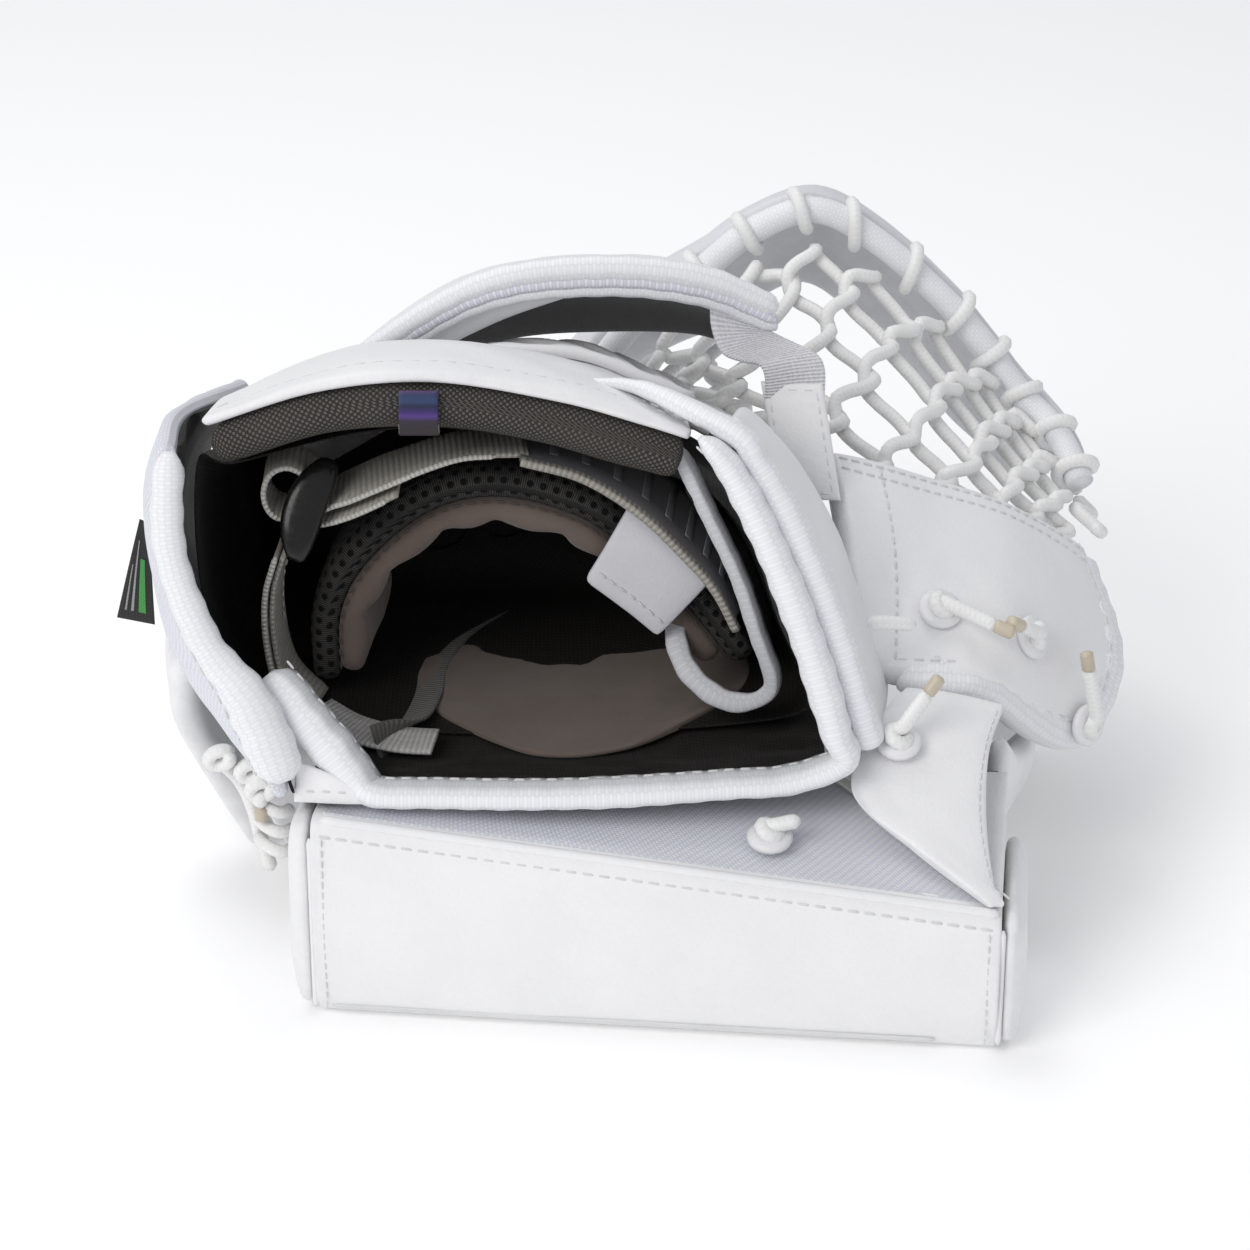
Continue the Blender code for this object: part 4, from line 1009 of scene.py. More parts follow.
def bind(name, line, forward, half, back, body, nodes=(), front=3.9, material=None, step=2.2,
         stitch=1, wide=((0, 1), (1, 1)), lead=0.0):
    """A tape folded over an edge, puckered at its stitches; wide gives its width along it."""
    count = max(int(distances(line)[-1] / step), 8)
    t = even(count)
    line = curve(line, t)
    forward = unit(curve(forward, t))
    outline = np.array(binding_outline(half, back, front))[None].repeat(count, 0)
    far = distances(line)
    pucker = (1 + 0.05 * np.sin(far * math.tau / PUCKER_PITCH)
              + 0.06 * noise(far / 14, far * 0, 5))
    spread = np.interp(t, *zip(*wide))
    outline[:, :, 1] *= (pucker * spread)[:, None]
    ends = np.sin(np.clip(np.minimum(t, 1 - t) * count / 3 + 0.25, 0, 1) * math.pi / 2)
    if lead:
        ends = np.minimum(ends, 0.3 + 0.7 * np.sin(np.clip(t / lead, 0, 1) * math.pi / 2))
    outline *= ends[:, None, None]
    made = [sweep(name, line, forward, outline, material or TAPE, body, replaces=nodes)]
    ahead = tangents(line)
    side = unit(np.cross(ahead, forward))
    for way, label in ((1, "a"), (-1, "b")):
        if stitch in (way, 2):
            seam = line - (back - 1.7) * forward + way * (half + 0.45) * spread[:, None] * side
            made.append(stitches(f"{name}_stitches_{label}", seam, way * side, body, pitch=4.8,
                                 length=3.2, lift=0.25))
    return made


def edge_of(at, u, v, middle, into):
    """Points midway through a wall along its edge, and the way forward out of the wall."""
    u = np.asarray(u, float)
    v = np.broadcast_to(np.asarray(v, float), u.shape)
    line = at(u, v) + middle * normal_of(at, u, v)
    inner = at(np.clip(u + into[0], 0, 1), np.clip(v + into[1], 0, 1))
    return line, unit(at(u, v) - inner)


def build_opening():
    floor = Pad(FLOOR, -1.2, 0.1, edge=0.6, step=3,
                bump=lambda a, b, fa, fb: 0.9 * creases(a, b, 21) * np.clip(fb * 4, 0, 1))
    floor.build("sleeve_floor_cloth", LINING, "palm", ["sleeve_floor"])
    wall = Pad(LEFT_WALL, 0.2, -1.2, edge=0.6, step=3, bump=folded(0.9, 23))
    wall.build("sleeve_lining_cloth_left", LINING, "palm", ["sleeve_lining_left"])
    shell = Pad(LEFT_WALL, 0.3, 6.2, edge=3, crown=1.5, step=3, bump=folded(0.8, 25))
    shell.build("sleeve_shell_cloth", NYLON, "palm", ["sleeve_shell_left"])
    right = Pad(RIGHT_SIDE, -5.4, -1.8, u=(0.3, 0.95), edge=1.5, step=3)
    right.build("sleeve_wall_cloth", NYLON, "palm", ["sleeve_wall_right"])
    inner = Pad(RIGHT_SIDE, -5.6, -7.0, u=(0.17, 0.95), edge=0.6, step=3, bump=folded(0.7, 27))
    inner.build("sleeve_lining_cloth_right", LINING, "palm", ["sleeve_lining_right"])

    u = np.linspace(0.06, 0.985, 14)
    line, forward = edge_of(LEFT_WALL, u, 0, 2.6, (0, 0.12))
    low = np.clip((0.45 - u) / 0.4, 0, 1)[:, None]
    bind("opening_tape_left", line + 0.5 * forward + low * (3.0, -2.5, -1.0), forward, 3.0, 10.5,
         "palm", ["binding_left"], stitch=-1, front=4.2,
         wide=((0, 1.9), (0.18, 1.9), (0.45, 1.3), (1, 1.15)))
    u = np.linspace(0.17, 0.93, 9)
    line, forward = edge_of(RIGHT_SIDE, u, 0, -5.6, (0, 0.15))
    low = 0.93 - 0.93 * even(9)
    base, ahead = edge_of(FLOOR, low, 0, -0.8, (0, 0.2))
    rise = np.array([(-80, -87.5, 75), (-88, -85, 84), (-97, -82, 94), (-107, -77, 105)])
    line = np.concatenate([line, base[:-1], rise])
    forward = np.concatenate([forward, ahead[:-1], np.tile((-0.25, -1, 0.1), (4, 1))])
    bind("opening_tape", line, forward, 2.6, 8.0, "palm", ["opening_binding"], stitch=2,
         step=2.0, wide=((0, 0.9), (0.1, 1.35), (0.3, 1.4), (0.42, 1.0), (0.82, 1.05), (0.9, 1.75),
                          (1, 1.75)), lead=0.04)
    flap = surface([
        [(18, -56, 157), (31, -56, 137), (39, -54, 116), (44, -54, 96)],
        [(22, -20, 146), (35, -20, 130), (42, -20, 111), (46, -20, 93)],
    ])
    strip = Pad(flap, -0.9, 0.9, edge=0.9, crown=0.6, corner=3, step=2.4)
    strip.build("wrist_liner_cloth", LINING, "palm", ["wrist_liner_flap"])
    edge = np.array([(14.5, -55, 170), (24, -56, 149), (33.5, -56.5, 128), (39.5, -56, 109),
                     (44.5, -55, 93), (41.5, -54, 86.5), (33.5, -51, 83.5), (25.5, -47, 85.5),
                     (18.5, -41, 91), (15.5, -32, 98), (17, -22, 104)])
    ahead = np.array([(-0.5, -1, 0)] * 5 + [(-0.1, -1, 0.4)] * 6)
    # The liner's tape takes the painted-shade tape colour, darker than the white tape for its
    # shadow.
    bind("wrist_liner_tape", edge, ahead, 1.5, 4.0, "palm", stitch=0, front=1.2,
         material=SHADOWED_TAPE, wide=((0, 1.0), (0.5, 1.0), (0.62, 1.35), (1, 1.4)))
    corner = surface([[(-99, -88.5, 69), (-84, -91, 69.5), (-74, -92, 70)],
                      [(-98, -87, 82), (-89, -88.5, 79), (-78, -90, 74)]])
    flap = Pad(corner, -0.6, 0.8, edge=0.6, crown=0.4, step=1.6)
    flap.build("opening_corner_leather", LEATHER, "palm")
    flap.along("opening_corner_stitches", [0.1, 0.7], [0.3, 0.45], "palm", pitch=3.6, length=2.4,
               radius=0.3)

    liner = surface([
        [(-46, -58, 72), (-14, -64, 71.5), (24, -50, 73.5)],
        [(-66, -14, 71.5), (-14, -12, 71), (40, -8, 74.5)],
        [(-56, 40, 71), (-16, 48, 70.5), (24, 38, 74)],
    ])
    patch = Pad(liner, -0.6, 1.2, edge=0.9, crown=0.4, corner=34, step=2.6, bump=folded(0.6, 29))
    patch.build("palm_suede", SUEDE, "palm", ["palm_liner"])
    line = curve([(-40, 40, 73.5), (-54, 20, 73.5), (-61, -4, 73), (-62, -24, 73.5),
                  (-66, -46, 75), (-76, -62, 76)], even(40))
    wide = curve([(7, 4, 1), (8, 2, 1), (9, -1, 1), (9, 1, 1), (8, 6, 2), (5, 10, 3)],
                 even(40))
    ribbon("palm_suede_tape", line - (0, 0, 0.8), wide, 1.2, GREY_TAPE, "palm")
    line = curve([(-95, -44, 78), (-84, -52, 75.5), (-70, -58, 74.5), (-58, -60, 74.5)],
                 even(30))
    ribbon("palm_strap_end", line, np.tile((4, 13, 1.5), (30, 1)), 1.4, PALE_WEB, "palm")


def build_inner_bag():
    """The black lining that closes the hand's space behind the wrist opening."""
    middle = np.array((-36.0, 118.0))
    rows = []
    for y, share in ((-48, 0.99), (-22, 1.0), (2, 0.985), (24, 0.95), (44, 0.9), (53, 0.7),
                     (55, 0.35), (55.5, 0.02)):
        rise = 0.3 * max(-y, 0)
        ring = [(-100, 75.5), (-122, 94), (-129.5, 122), (-128.5, 141 + 1.5 * rise),
                (-118, 152 + 0.7 * rise), (-88, 163 + 0.5 * rise), (-56, 167 + 0.5 * rise),
                (-22, 162 + 0.45 * rise), (4, 152 + 0.65 * rise), (24, 142 + 0.8 * rise),
                (37, 130 + 0.5 * rise), (48, 108), (56, 88), (52, 77), (0, 71.5), (-52, 71)]
        row = []
        for x, z in ring + ring[:1]:
            place = middle + share * (np.array((x, z)) - middle)
            row.append((place[0], y, place[1] - 0.09 * max(y, 0) * (place[1] > 120)))
        rows.append(row)
    bag = surface(rows)
    pad = Pad(bag, -0.4, 0.4, edge=0.4, step=4, bump=folded(0.8, 37))
    pad.build("inner_lining", LINING, "palm")


# Pads of the back of the wrist and hand

def build_back_pad():
    top = Pad(BACK_TOP, 0, 3.4, edge=2.4, crown=2.2, corner=3, step=2.6,
              grooves=[(9.0, 0.45, 1.0)], bump=folded(0.6, 31))
    top.build("back_pad_cover", LEATHER, "back_pad", ["back_pad_leather"], fill=0.7)
    top.along("back_pad_stitches", [0.02, 0.98], [0.13, 0.13], "back_pad", pitch=5.2, length=3.6)
    roll = Pad(BACK_TOP, -0.2, -13.0, edge=6.4, crown=1.8, corner=4, step=2.2,
               bump=lambda a, b, fa, fb: 0.7 * noise(a / 26, b / 30, 33))
    roll.build("back_pad_roll", ROLL_MESH, "back_pad", ["back_pad_foam"], fill=0.9)
    rows = [[(x, -62.6 - 2.2 * math.sin(t * math.pi * 0.8), 190.5 - 13.5 * t)
             for x in (-66, -60, -54.5)] for t in even(5)]
    tag = Pad(surface(rows), -0.4, 0.5, edge=0.4, step=1.0)
    tag.build("wrist_ribbon", RIBBON, "back_pad", ["ribbon_tag"])
    rows = [[(x, -64.4 + 1.2 * t, 180.5 - 3.2 * t) for x in (-66.2, -60, -54.3)] for t in (0, 1)]
    Pad(surface(rows), -0.5, 0.7, edge=0.4, step=1.0).build("wrist_ribbon_end", RIBBON_END,
                                                            "back_pad")
    flap = Pad(RIGHT_SIDE, 0.2, 4.8, u=(0.2, 0.93), v=(0.1, 0.9), edge=2.2, crown=1.0, corner=4,
               step=2.6, bump=folded(0.5, 35))
    flap.build("wrist_flap_cover", LEATHER, "back_pad", ["wrist_flap"], fill=0.5)
    u = 0.24 + 0.695 * even(12)
    line, forward = edge_of(RIGHT_SIDE, u, 0.1, 1.6, (0, 0.15))
    start = np.array([(-12, -38, 184.0), (1, -45, 185.4), (13, -54, 184.5)])
    line = np.concatenate([start, line + 0.5 * forward])
    forward = np.concatenate([[(0.2, -0.8, 0.5), (0.2, -0.9, 0.4), (0.2, -1, 0.3)], forward])
    bind("wrist_flap_tape", line, forward, 2.7, 6.5, "back_pad", ["wrist_flap_binding"], stitch=1,
         front=4.4, wide=((0, 0.8), (0.2, 1.0), (0.4, 1.3), (1, 1.35)), lead=0.2)


def build_hand_back():
    panel = Pad(HAND_BACK, -6, 0, edge=3, crown=1.5, step=3, grooves=[(7.0, 0.5, 1.0)],
                bump=folded(0.7, 41))
    panel.build("hand_panel_cover", LEATHER, "palm", ["hand_panel"], fill=0.6)
    piping = HAND_BACK(np.linspace(0.66, 0.93, 30), np.linspace(0.02, 0.5, 30))
    cord_piece("hand_panel_piping", piping[::3] + (0, 0, 1.2), 1.6, LEATHER, "palm", sides=8)
    panel.along("hand_panel_stitches", [0.62, 0.66, 0.72], [0.03, 0.3, 0.6], "palm")

    def relief(a, b, fa, fb):
        ribs = np.clip(np.sin((a * 0.9 + b * 0.5) * math.tau / 15) * 2.2, -1, 1)
        border = np.clip(np.minimum(np.minimum(fa, 1 - fa) * 12, np.minimum(fb, 1 - fb) * 9), 0, 1)
        return 0.55 * ribs * border

    guard = Pad(HAND_BACK, 0.4, 4.6, u=(0.28, 0.74), v=(0.02, 0.5), edge=1.4, corner=6, step=1.4,
                bump=relief)
    guard.build("hand_guard_relief", RELIEF, "palm", ["hand_guard"])

    pad = Pad(BACKHAND, -8.0, 0, edge=3.4, crown=2.4, corner=8, step=2.8,
              grooves=[(9.0, 0.5, 1.1)], bump=folded(0.6, 43))
    pad.build("backhand_cover", LEATHER, "backhand", ["backhand_pad"], fill=0.7)
    under = Pad(BACKHAND, -7.9, -8.9, u=(0.03, 0.97), v=(0.02, 0.97), edge=0.5, step=4)
    under.build("backhand_lining", BLACK_CLOTH, "backhand")
    facet = surface([[(-84, 24, 160), (-64, 22, 177), (-42, 20, 188), (-18, 20, 192)],
                     [(-77, 28, 157), (-58, 26, 170), (-38, 24, 181), (-16, 22, 190)]])
    Pad(facet, 0.9, -0.5, edge=0.6, crown=0.5, step=2).build("backhand_facet", LEATHER, "backhand")
    u = even(14)
    line, forward = edge_of(BACKHAND, u, 0, -4.0, (0, 0.12))
    bind("backhand_tape", line + (0, 0, 1.2), forward, 2.9, 8.5, "backhand", ["backhand_binding"],
         stitch=1, front=3.4)
    bind("backhand_tape_middle", line + 0.5 * forward + (0, 0.6, -3.0), forward, 1.6, 7.0,
         "backhand", stitch=0, front=2.8, material=NYLON)
    bind("backhand_tape_inner", line + 0.4 * forward + (0, 1.8, -6.2), forward, 1.5, 6.0,
         "backhand", stitch=0, front=2.6)

    near = [(26.5, 22, 188), (27, 19, 180), (30, 13, 174), (36, 9, 172.5), (41.5, 7, 172),
            (43.5, 6.2, 168), (43.5, 6, 161)]
    far = [(46, 22, 178), (46.5, 20, 177.5), (49, 17, 177.5), (54, 13, 176.5), (60, 9.5, 174.5),
           (62.3, 7.5, 170), (62.3, 6.5, 161)]
    middle = [tuple((np.array(a) + b) / 2 + (0, 0.8, 0)) for a, b in zip(near, far)]
    strap = surface([near, middle, far])
    Pad(strap, -0.8, 0.8, edge=0.7, step=1.2).build("elastic_strap", ELASTIC, "palm",
                                                    ["elastic_band"])
    strap = surface([[(52 + s * 9.6 + 6 * t, 7.5 - 11 * t - s, 166 - 35 * t) for s in (-1, 0, 1)]
                     for t in (0, 0.5, 1)])
    tab = Pad(strap, 1.1, -1.2, edge=1.0, crown=0.4, step=1.8, grooves=[(2.2, 0.25, 0.5)])
    tab.build("tab_strap_cover", LEATHER, "palm", ["tab_strap"])
    tab.border("tab_strap_stitches", 2.2, "palm", pitch=3.8, length=2.6, radius=0.32)


def ribbon(name, line, wide, thick, material, body, nodes=()):
    """A flat strap with rounded edges; wide gives its width and the way it faces."""
    line = np.asarray(line, float)
    wide = np.asarray(wide, float)
    half = np.linalg.norm(wide, axis=1) / 2 - 0.4
    steps = (-1, -0.5, 0, 0.5, 1)
    places = ([(-1, -0.4, 0)] + [(x, 0, thick / 2) for x in steps] + [(1, 0.4, 0)]
              + [(x, 0, -thick / 2) for x in steps[::-1]])
    outline = np.stack([np.stack([x * half + dx, np.full(len(line), y)], -1)
                        for x, dx, y in places], 1)
    return sweep(name, line, wide, outline, material, body, replaces=nodes)


# Hand strap

PLATE_HALF_LENGTH = 16.2
PLATE_HALF_WIDTH = 6.3
PLATE_FORWARD = 9.4


def build_hand_strap():
    def weave_dents(a, b, fa, fb):
        return 0.5 * creases(a, b, 51)

    arch = Pad(HAND_ARCH, -9.2, 0, edge=4.4, crown=1.4, corner=5, step=2.4, bump=weave_dents)
    arch.build("hand_pad_mesh", AIR_MESH, "hand_strap", ["hand_pad"], fill=0.7)

    def scallops(a, b, fa, fb):
        return 2.4 * (np.abs(np.sin(a * math.pi / 25)) - 0.55) + 0.5 * creases(a, b, 53)

    under = Pad(HAND_ARCH, -9.0, -17.0, u=(0.015, 0.975), v=(0.0, 0.97), edge=3.6, crown=0.8,
                corner=5, step=2.2, bump=scallops)
    under.build("hand_pad_suede", SUEDE, "hand_strap", ["hand_pad_liner"], fill=0.4)
    line = offset(HAND_ARCH, np.linspace(0.02, 0.98, 120), 0, -9.6)
    stitches("hand_pad_stitches", line + (0, -0.3, 0), (0, -1, 0.1), "hand_strap", pitch=4.4,
             length=2.8, radius=0.35, colour=DARK_THREAD)
    rows = [
        [(6.5, -14, 139), (17, -14, 130), (28, -14, 119)],
        [(3.5, -29, 144), (14.5, -30, 134), (26, -31, 122)],
        [(0.5, -35.6, 141.5), (13, -35.8, 130.5), (26, -36, 118)],
        [(-6, -36, 129.5), (7, -36, 119), (18, -36, 108)],
        [(-12.5, -36, 118), (0.5, -36, 107.5), (10, -36, 99)],
    ]
    # The tab's leather is painted shade: a darker copy of the white leather.
    tab = Pad(surface(rows), 0.9, -0.9, edge=0.8, crown=0.5, corner=2.5, step=1.8)
    tab.build("hand_pad_tab_leather", SHADOWED_LEATHER, "hand_strap", ["hand_pad_tab"])
    tab.along("hand_pad_tab_stitches", [0.06, 0.94], [0.9, 0.9], "hand_strap", pitch=3.8,
              length=2.6, radius=0.34, lift=0.3)

    t = even(60)
    line = curve([(-94, -39, 145.5), (-89, -39, 148), (-82, -39, 151), (-70, -38, 156),
                  (-50, -36, 162.5), (-30, -34, 163.5)], t)
    wide = curve([(-1, 18, 1), (-1, 19, 1), (-1, 21, 1.5), (0, 23.5, 1), (0, 25, -1),
                  (0, 25, 0)], t)
    ribbon("strap_web_upper", line, wide, 1.5, WEB, "hand_strap", ["strap_upper"])
    cord_piece("strap_web_bead", (line - 0.5 * wide)[::6], 0.9, WEB_EDGE, "hand_strap", sides=8)
    ply = curve([(-93, -39, 141.5), (-87, -40, 144), (-79, -41, 147.5), (-68, -41, 152.5)], t)
    wide = curve([(-1, 19, 0), (-1, 20, 1), (0, 21, 1), (0, 21, 0)], t)
    ribbon("strap_web_ply", ply, wide, 1.4, WEB, "hand_strap")
    cord_piece("strap_web_ply_bead", (ply - 0.5 * wide)[::6], 0.8, WEB_EDGE, "hand_strap", sides=8)
    loop = curve([(-92.5, -39, 151), (-95, -39, 157), (-101, -39, 160.5), (-106.5, -39, 158),
                  (-108.5, -39, 151.5), (-106.5, -39, 145.5), (-101.5, -39, 142.8)], t)
    wide = np.tile((0.0, 15.0, 2.0), (60, 1))
    ribbon("strap_web_loop", loop, wide, 1.4, WEB, "slide")
    cord_piece("strap_web_loop_bead", (loop - 0.5 * wide)[::4], 0.9, WEB_EDGE, "slide", sides=8)
    line = curve([(-31, -34.5, 163.5), (-12, -35, 159.5), (6, -36, 150), (19, -37, 138),
                  (29, -38, 126), (36, -38, 112)], t)
    wide = curve([(0, 27, 1), (1, 26, 4), (3, 25, 7), (4, 24, 8), (4, 23, 8), (4, 22, 8)], t)
    ribbon("strap_rubber", line, wide, 2.0, RUBBER, "hand_strap", ["strap_patch"])
    low = line - 0.52 * wide + (0, 0, -0.4)
    ribbon("strap_rubber_edge", low, wide * 0.12, 2.4, WEB, "hand_strap")
    ribbon_marks(line, wide)

    line = curve([(-104.5, -39, 132), (-108.5, -37, 118), (-109, -36, 102), (-106, -36, 87),
                  (-97, -38, 77)], t)
    wide = np.tile((1.5, 22.0, 0), (60, 1))
    ribbon("strap_web_lower", line, wide, 1.5, WEB, "palm", ["strap_lower"])
    cord_piece("strap_web_lower_bead", (line - 0.5 * wide)[::6], 0.9, WEB_EDGE, "palm", sides=8)
    ribbon("strap_web_lower_ply", line + (2.2, 0.5, 0.4), wide * 0.96, 1.4, WEB, "palm")
    stitches("strap_web_stitches", line[8:30] + 0.2 * wide[8:30] + (3.2, 0, 0), (1, 0, 0), "palm",
             pitch=3.2, length=2.2, radius=0.3, colour=GREY_THREAD)
    build_slide()


def ribbon_marks(line, wide):
    """A raised, plain bar pattern on the rubber patch."""
    verts = []
    faces = []
    ahead = tangents(line)
    up = unit(np.cross(ahead, wide))
    quads = ((4, 5, 6, 7), (0, 1, 5, 4), (1, 2, 6, 5), (2, 3, 7, 6), (3, 0, 4, 7), (3, 2, 1, 0))
    for i in range(6, 54, 6):
        faces += [tuple(len(verts) + k for k in q) for q in quads]
        for half, reach, h in ((0.3, 1, 0.8), (0.27, 0.7, 1.35)):
            for s, f in ((-1, -1), (1, -1), (1, 1), (-1, 1)):
                verts.append(line[i] + s * half * wide[i] + f * reach * 1.6 * ahead[i]
                             + h * up[i])
    make("strap_rubber_bars", verts, faces, RUBBER, "hand_strap")


def build_slide():
    """The slide: a rounded half-moon plate in front of the webbing's loop, on two posts."""
    middle = np.array((-97.0, -44.0, 145.0))
    bar = unit(np.array((18.0, 0.0, -7.0)))
    wide = unit(np.array((8.0, 12.0, 20.0)))
    thick = np.cross(bar, wide)
    rows = []
    for s in np.linspace(-1, 1, 7):
        half = PLATE_HALF_WIDTH * (1 - 0.62 * abs(s) ** 2.6)
        bow = 2.4 - 2.6 * (1 - s * s)
        rows.append([middle + PLATE_HALF_LENGTH * s * wide + (bow + k * half) * bar
                     + (PLATE_FORWARD - 1.4 * s * s - 0.8 * k * k) * thick
                     for k in (-1, -0.5, 0, 0.5, 1)])
    Pad(surface(rows), -1.1, 1.1, edge=1.1, crown=0.9, corner=3, step=1.0).build(
        "slide_plate", PLASTIC, "slide", ["strap_slide"])
    for name, place in (("slide_post_a", -0.1), ("slide_post_b", 0.55)):
        base = middle + PLATE_HALF_LENGTH * place * wide - 2.0 * bar
        line = base + np.linspace(8.2, 3.5, 6)[:, None] * thick
        sweep(name, line, np.tile(bar, (6, 1)), round_outline(2.2, 12, 0.8), PLASTIC, "slide")


build_opening()
build_inner_bag()
build_back_pad()
build_hand_back()
build_hand_strap()


# Palm, fingers and the catching side

def build_palm():
    face = surface([
        [(-106, -32, 20), (-60, -34, 44), (-10, -34, 52), (40, -40, 50), (92, -44, 30)],
        [(-129, 40, 18), (-74, 40, 46), (-20, 40, 53), (20, 40, 54), (62, 36, 48)],
        [(-125, 96, 18), (-76, 96, 50), (-30, 96, 60), (0, 96, 64), (30, 94, 60)],
    ])
    palm = Pad(face, 0, -3, edge=1.5, crown=1.5, step=4, grooves=[(8.0, 0.6, 1.2)],
               bump=folded(1.2, 61))
    palm.build("palm_cover", LEATHER, "palm", ["palm_leather"], fill=0.4)
    palm.border("palm_cover_stitches", 6.0, "palm")
    foam = Pad(FLOOR, -1.6, -11.4, v=(0.57, 1.0), edge=4, crown=1, step=5)
    foam.build("palm_padding", BLACK_CLOTH, "palm", ["palm_foam"], fill=0.9)

    face = surface([
        [(-128, 99, 18), (-86, 99, 48), (-50, 99, 66), (-14, 99, 78)],
        [(-121, 135, 18), (-84, 135, 50), (-54, 135, 74), (-22, 135, 92)],
        [(-106, 172, 14), (-78, 172, 44), (-54, 172, 66), (-26, 172, 84)],
    ])

    def channels(a, b, fa, fb):
        return 1.6 * np.abs(np.sin(fa * 4 * math.pi)) ** 0.6 + 0.5 * creases(a, b, 63)

    Pad(face, 0, -3, edge=1.5, step=3, bump=channels).build(
        "finger_face_cover", LEATHER, "palm", ["finger_leather"])
    Pad(face, 0.5, 3.2, u=(0.03, 0.97), v=(0.03, 0.97), edge=1.3, step=4, bump=channels).build(
        "finger_back_cover", LEATHER, "palm", ["finger_board"])

    side = surface([
        [(-144, -20, 82), (-144, -14, 58), (-135, 0, 28), (-121, 4, 0)],
        [(-151, 50, 78), (-152, 50, 54), (-146, 50, 26), (-134, 50, 0)],
        [(-138, 130, 68), (-140, 130, 46), (-136, 130, 22), (-128, 130, 0)],
    ])

    def quilt(a, b, fa, fb):
        return 1.8 * np.abs(np.sin(fb * 3 * math.pi)) ** 0.5 - 1.2 + 0.7 * creases(a, b, 65)

    pad = Pad(side, 0, 9, edge=4, crown=1.5, corner=10, step=3, bump=quilt)
    pad.build("finger_side_cover", LEATHER, "palm", ["finger_side_pad"], fill=0.6)
    pad.border("finger_side_stitches", 5.0, "palm", sides="tl")
    tips = surface([
        [(-102, 177, 14), (-78, 178, 38), (-54, 179, 60), (-30, 179, 76)],
        [(-102, 178, 6), (-78, 181, 18), (-54, 183, 30), (-32, 183, 38)],
        [(-102, 178, 0), (-78, 182, 0), (-54, 184, 0), (-34, 184, 0)],
    ])
    pad = Pad(tips, 0, 7, edge=3.4, crown=1.5, step=3,
              bump=lambda a, b, fa, fb: 1.2 * np.abs(np.sin(fa * 3 * math.pi)) ** 0.5 - 0.8)
    pad.build("finger_tip_cover", LEATHER, "palm", ["finger_tip_pad"], fill=0.6)
    pad.border("finger_tip_stitches", 4.0, "palm", sides="lr")
    for k in range(4):
        mouth = np.array((-84 + 22.0 * k, 54 + 0.3 * k, 96 + 4.0 * k))
        tip = np.array((-78 + 21.0 * k, 98 + 4.0 * k, 84 + 5.0 * k))
        stall(f"finger_sleeve_{k + 1}", mouth, tip, 11.6, "palm", ["finger_stalls"] if not k
              else ())


def stall(name, mouth, tip, radius, body, nodes):
    """A soft cloth sleeve, open at its mouth, with a rounded tip."""
    axis = unit(tip - mouth)
    length = np.linalg.norm(tip - mouth)
    profile = [(0.6, length), (radius - 4, length - 0.8), (radius - 0.4, length - 5)]
    profile += [(radius, d) for d in np.linspace(length - 9, 4, 8)]
    profile += [(radius + 0.3, 1.2), (radius - 0.3, 0), (radius - 1.1, 0.5), (radius - 1.2, 2.0),
                (radius - 1.2, length - 6), (radius - 5, length - 2.4), (0.6, length - 1.4)]
    side = unit(np.array((1, 0, 0.1)) - axis * axis[0])
    up = np.cross(side, axis)
    angle = np.linspace(0, math.tau, STALL_SIDES, endpoint=False)
    rings = []
    for r, d in profile:
        rough = r * (1 + 0.03 * noise(angle * 3, np.full(STALL_SIDES, d / 9), 71))
        rings.append(mouth + axis * d + (rough * np.cos(angle))[:, None] * side
                     + (rough * np.sin(angle))[:, None] * up)
    uv = [(t * radius, d) for _, d in profile for t in angle]
    faces = ring_faces(len(profile), STALL_SIDES)
    make(name, np.concatenate(rings), faces, LINING, body, nodes, uv=uv)


# Thumb

def bend(piece):
    """Frees a piece from its body and bakes its place into its mesh."""
    piece.parent = None
    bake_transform(piece)
    return piece


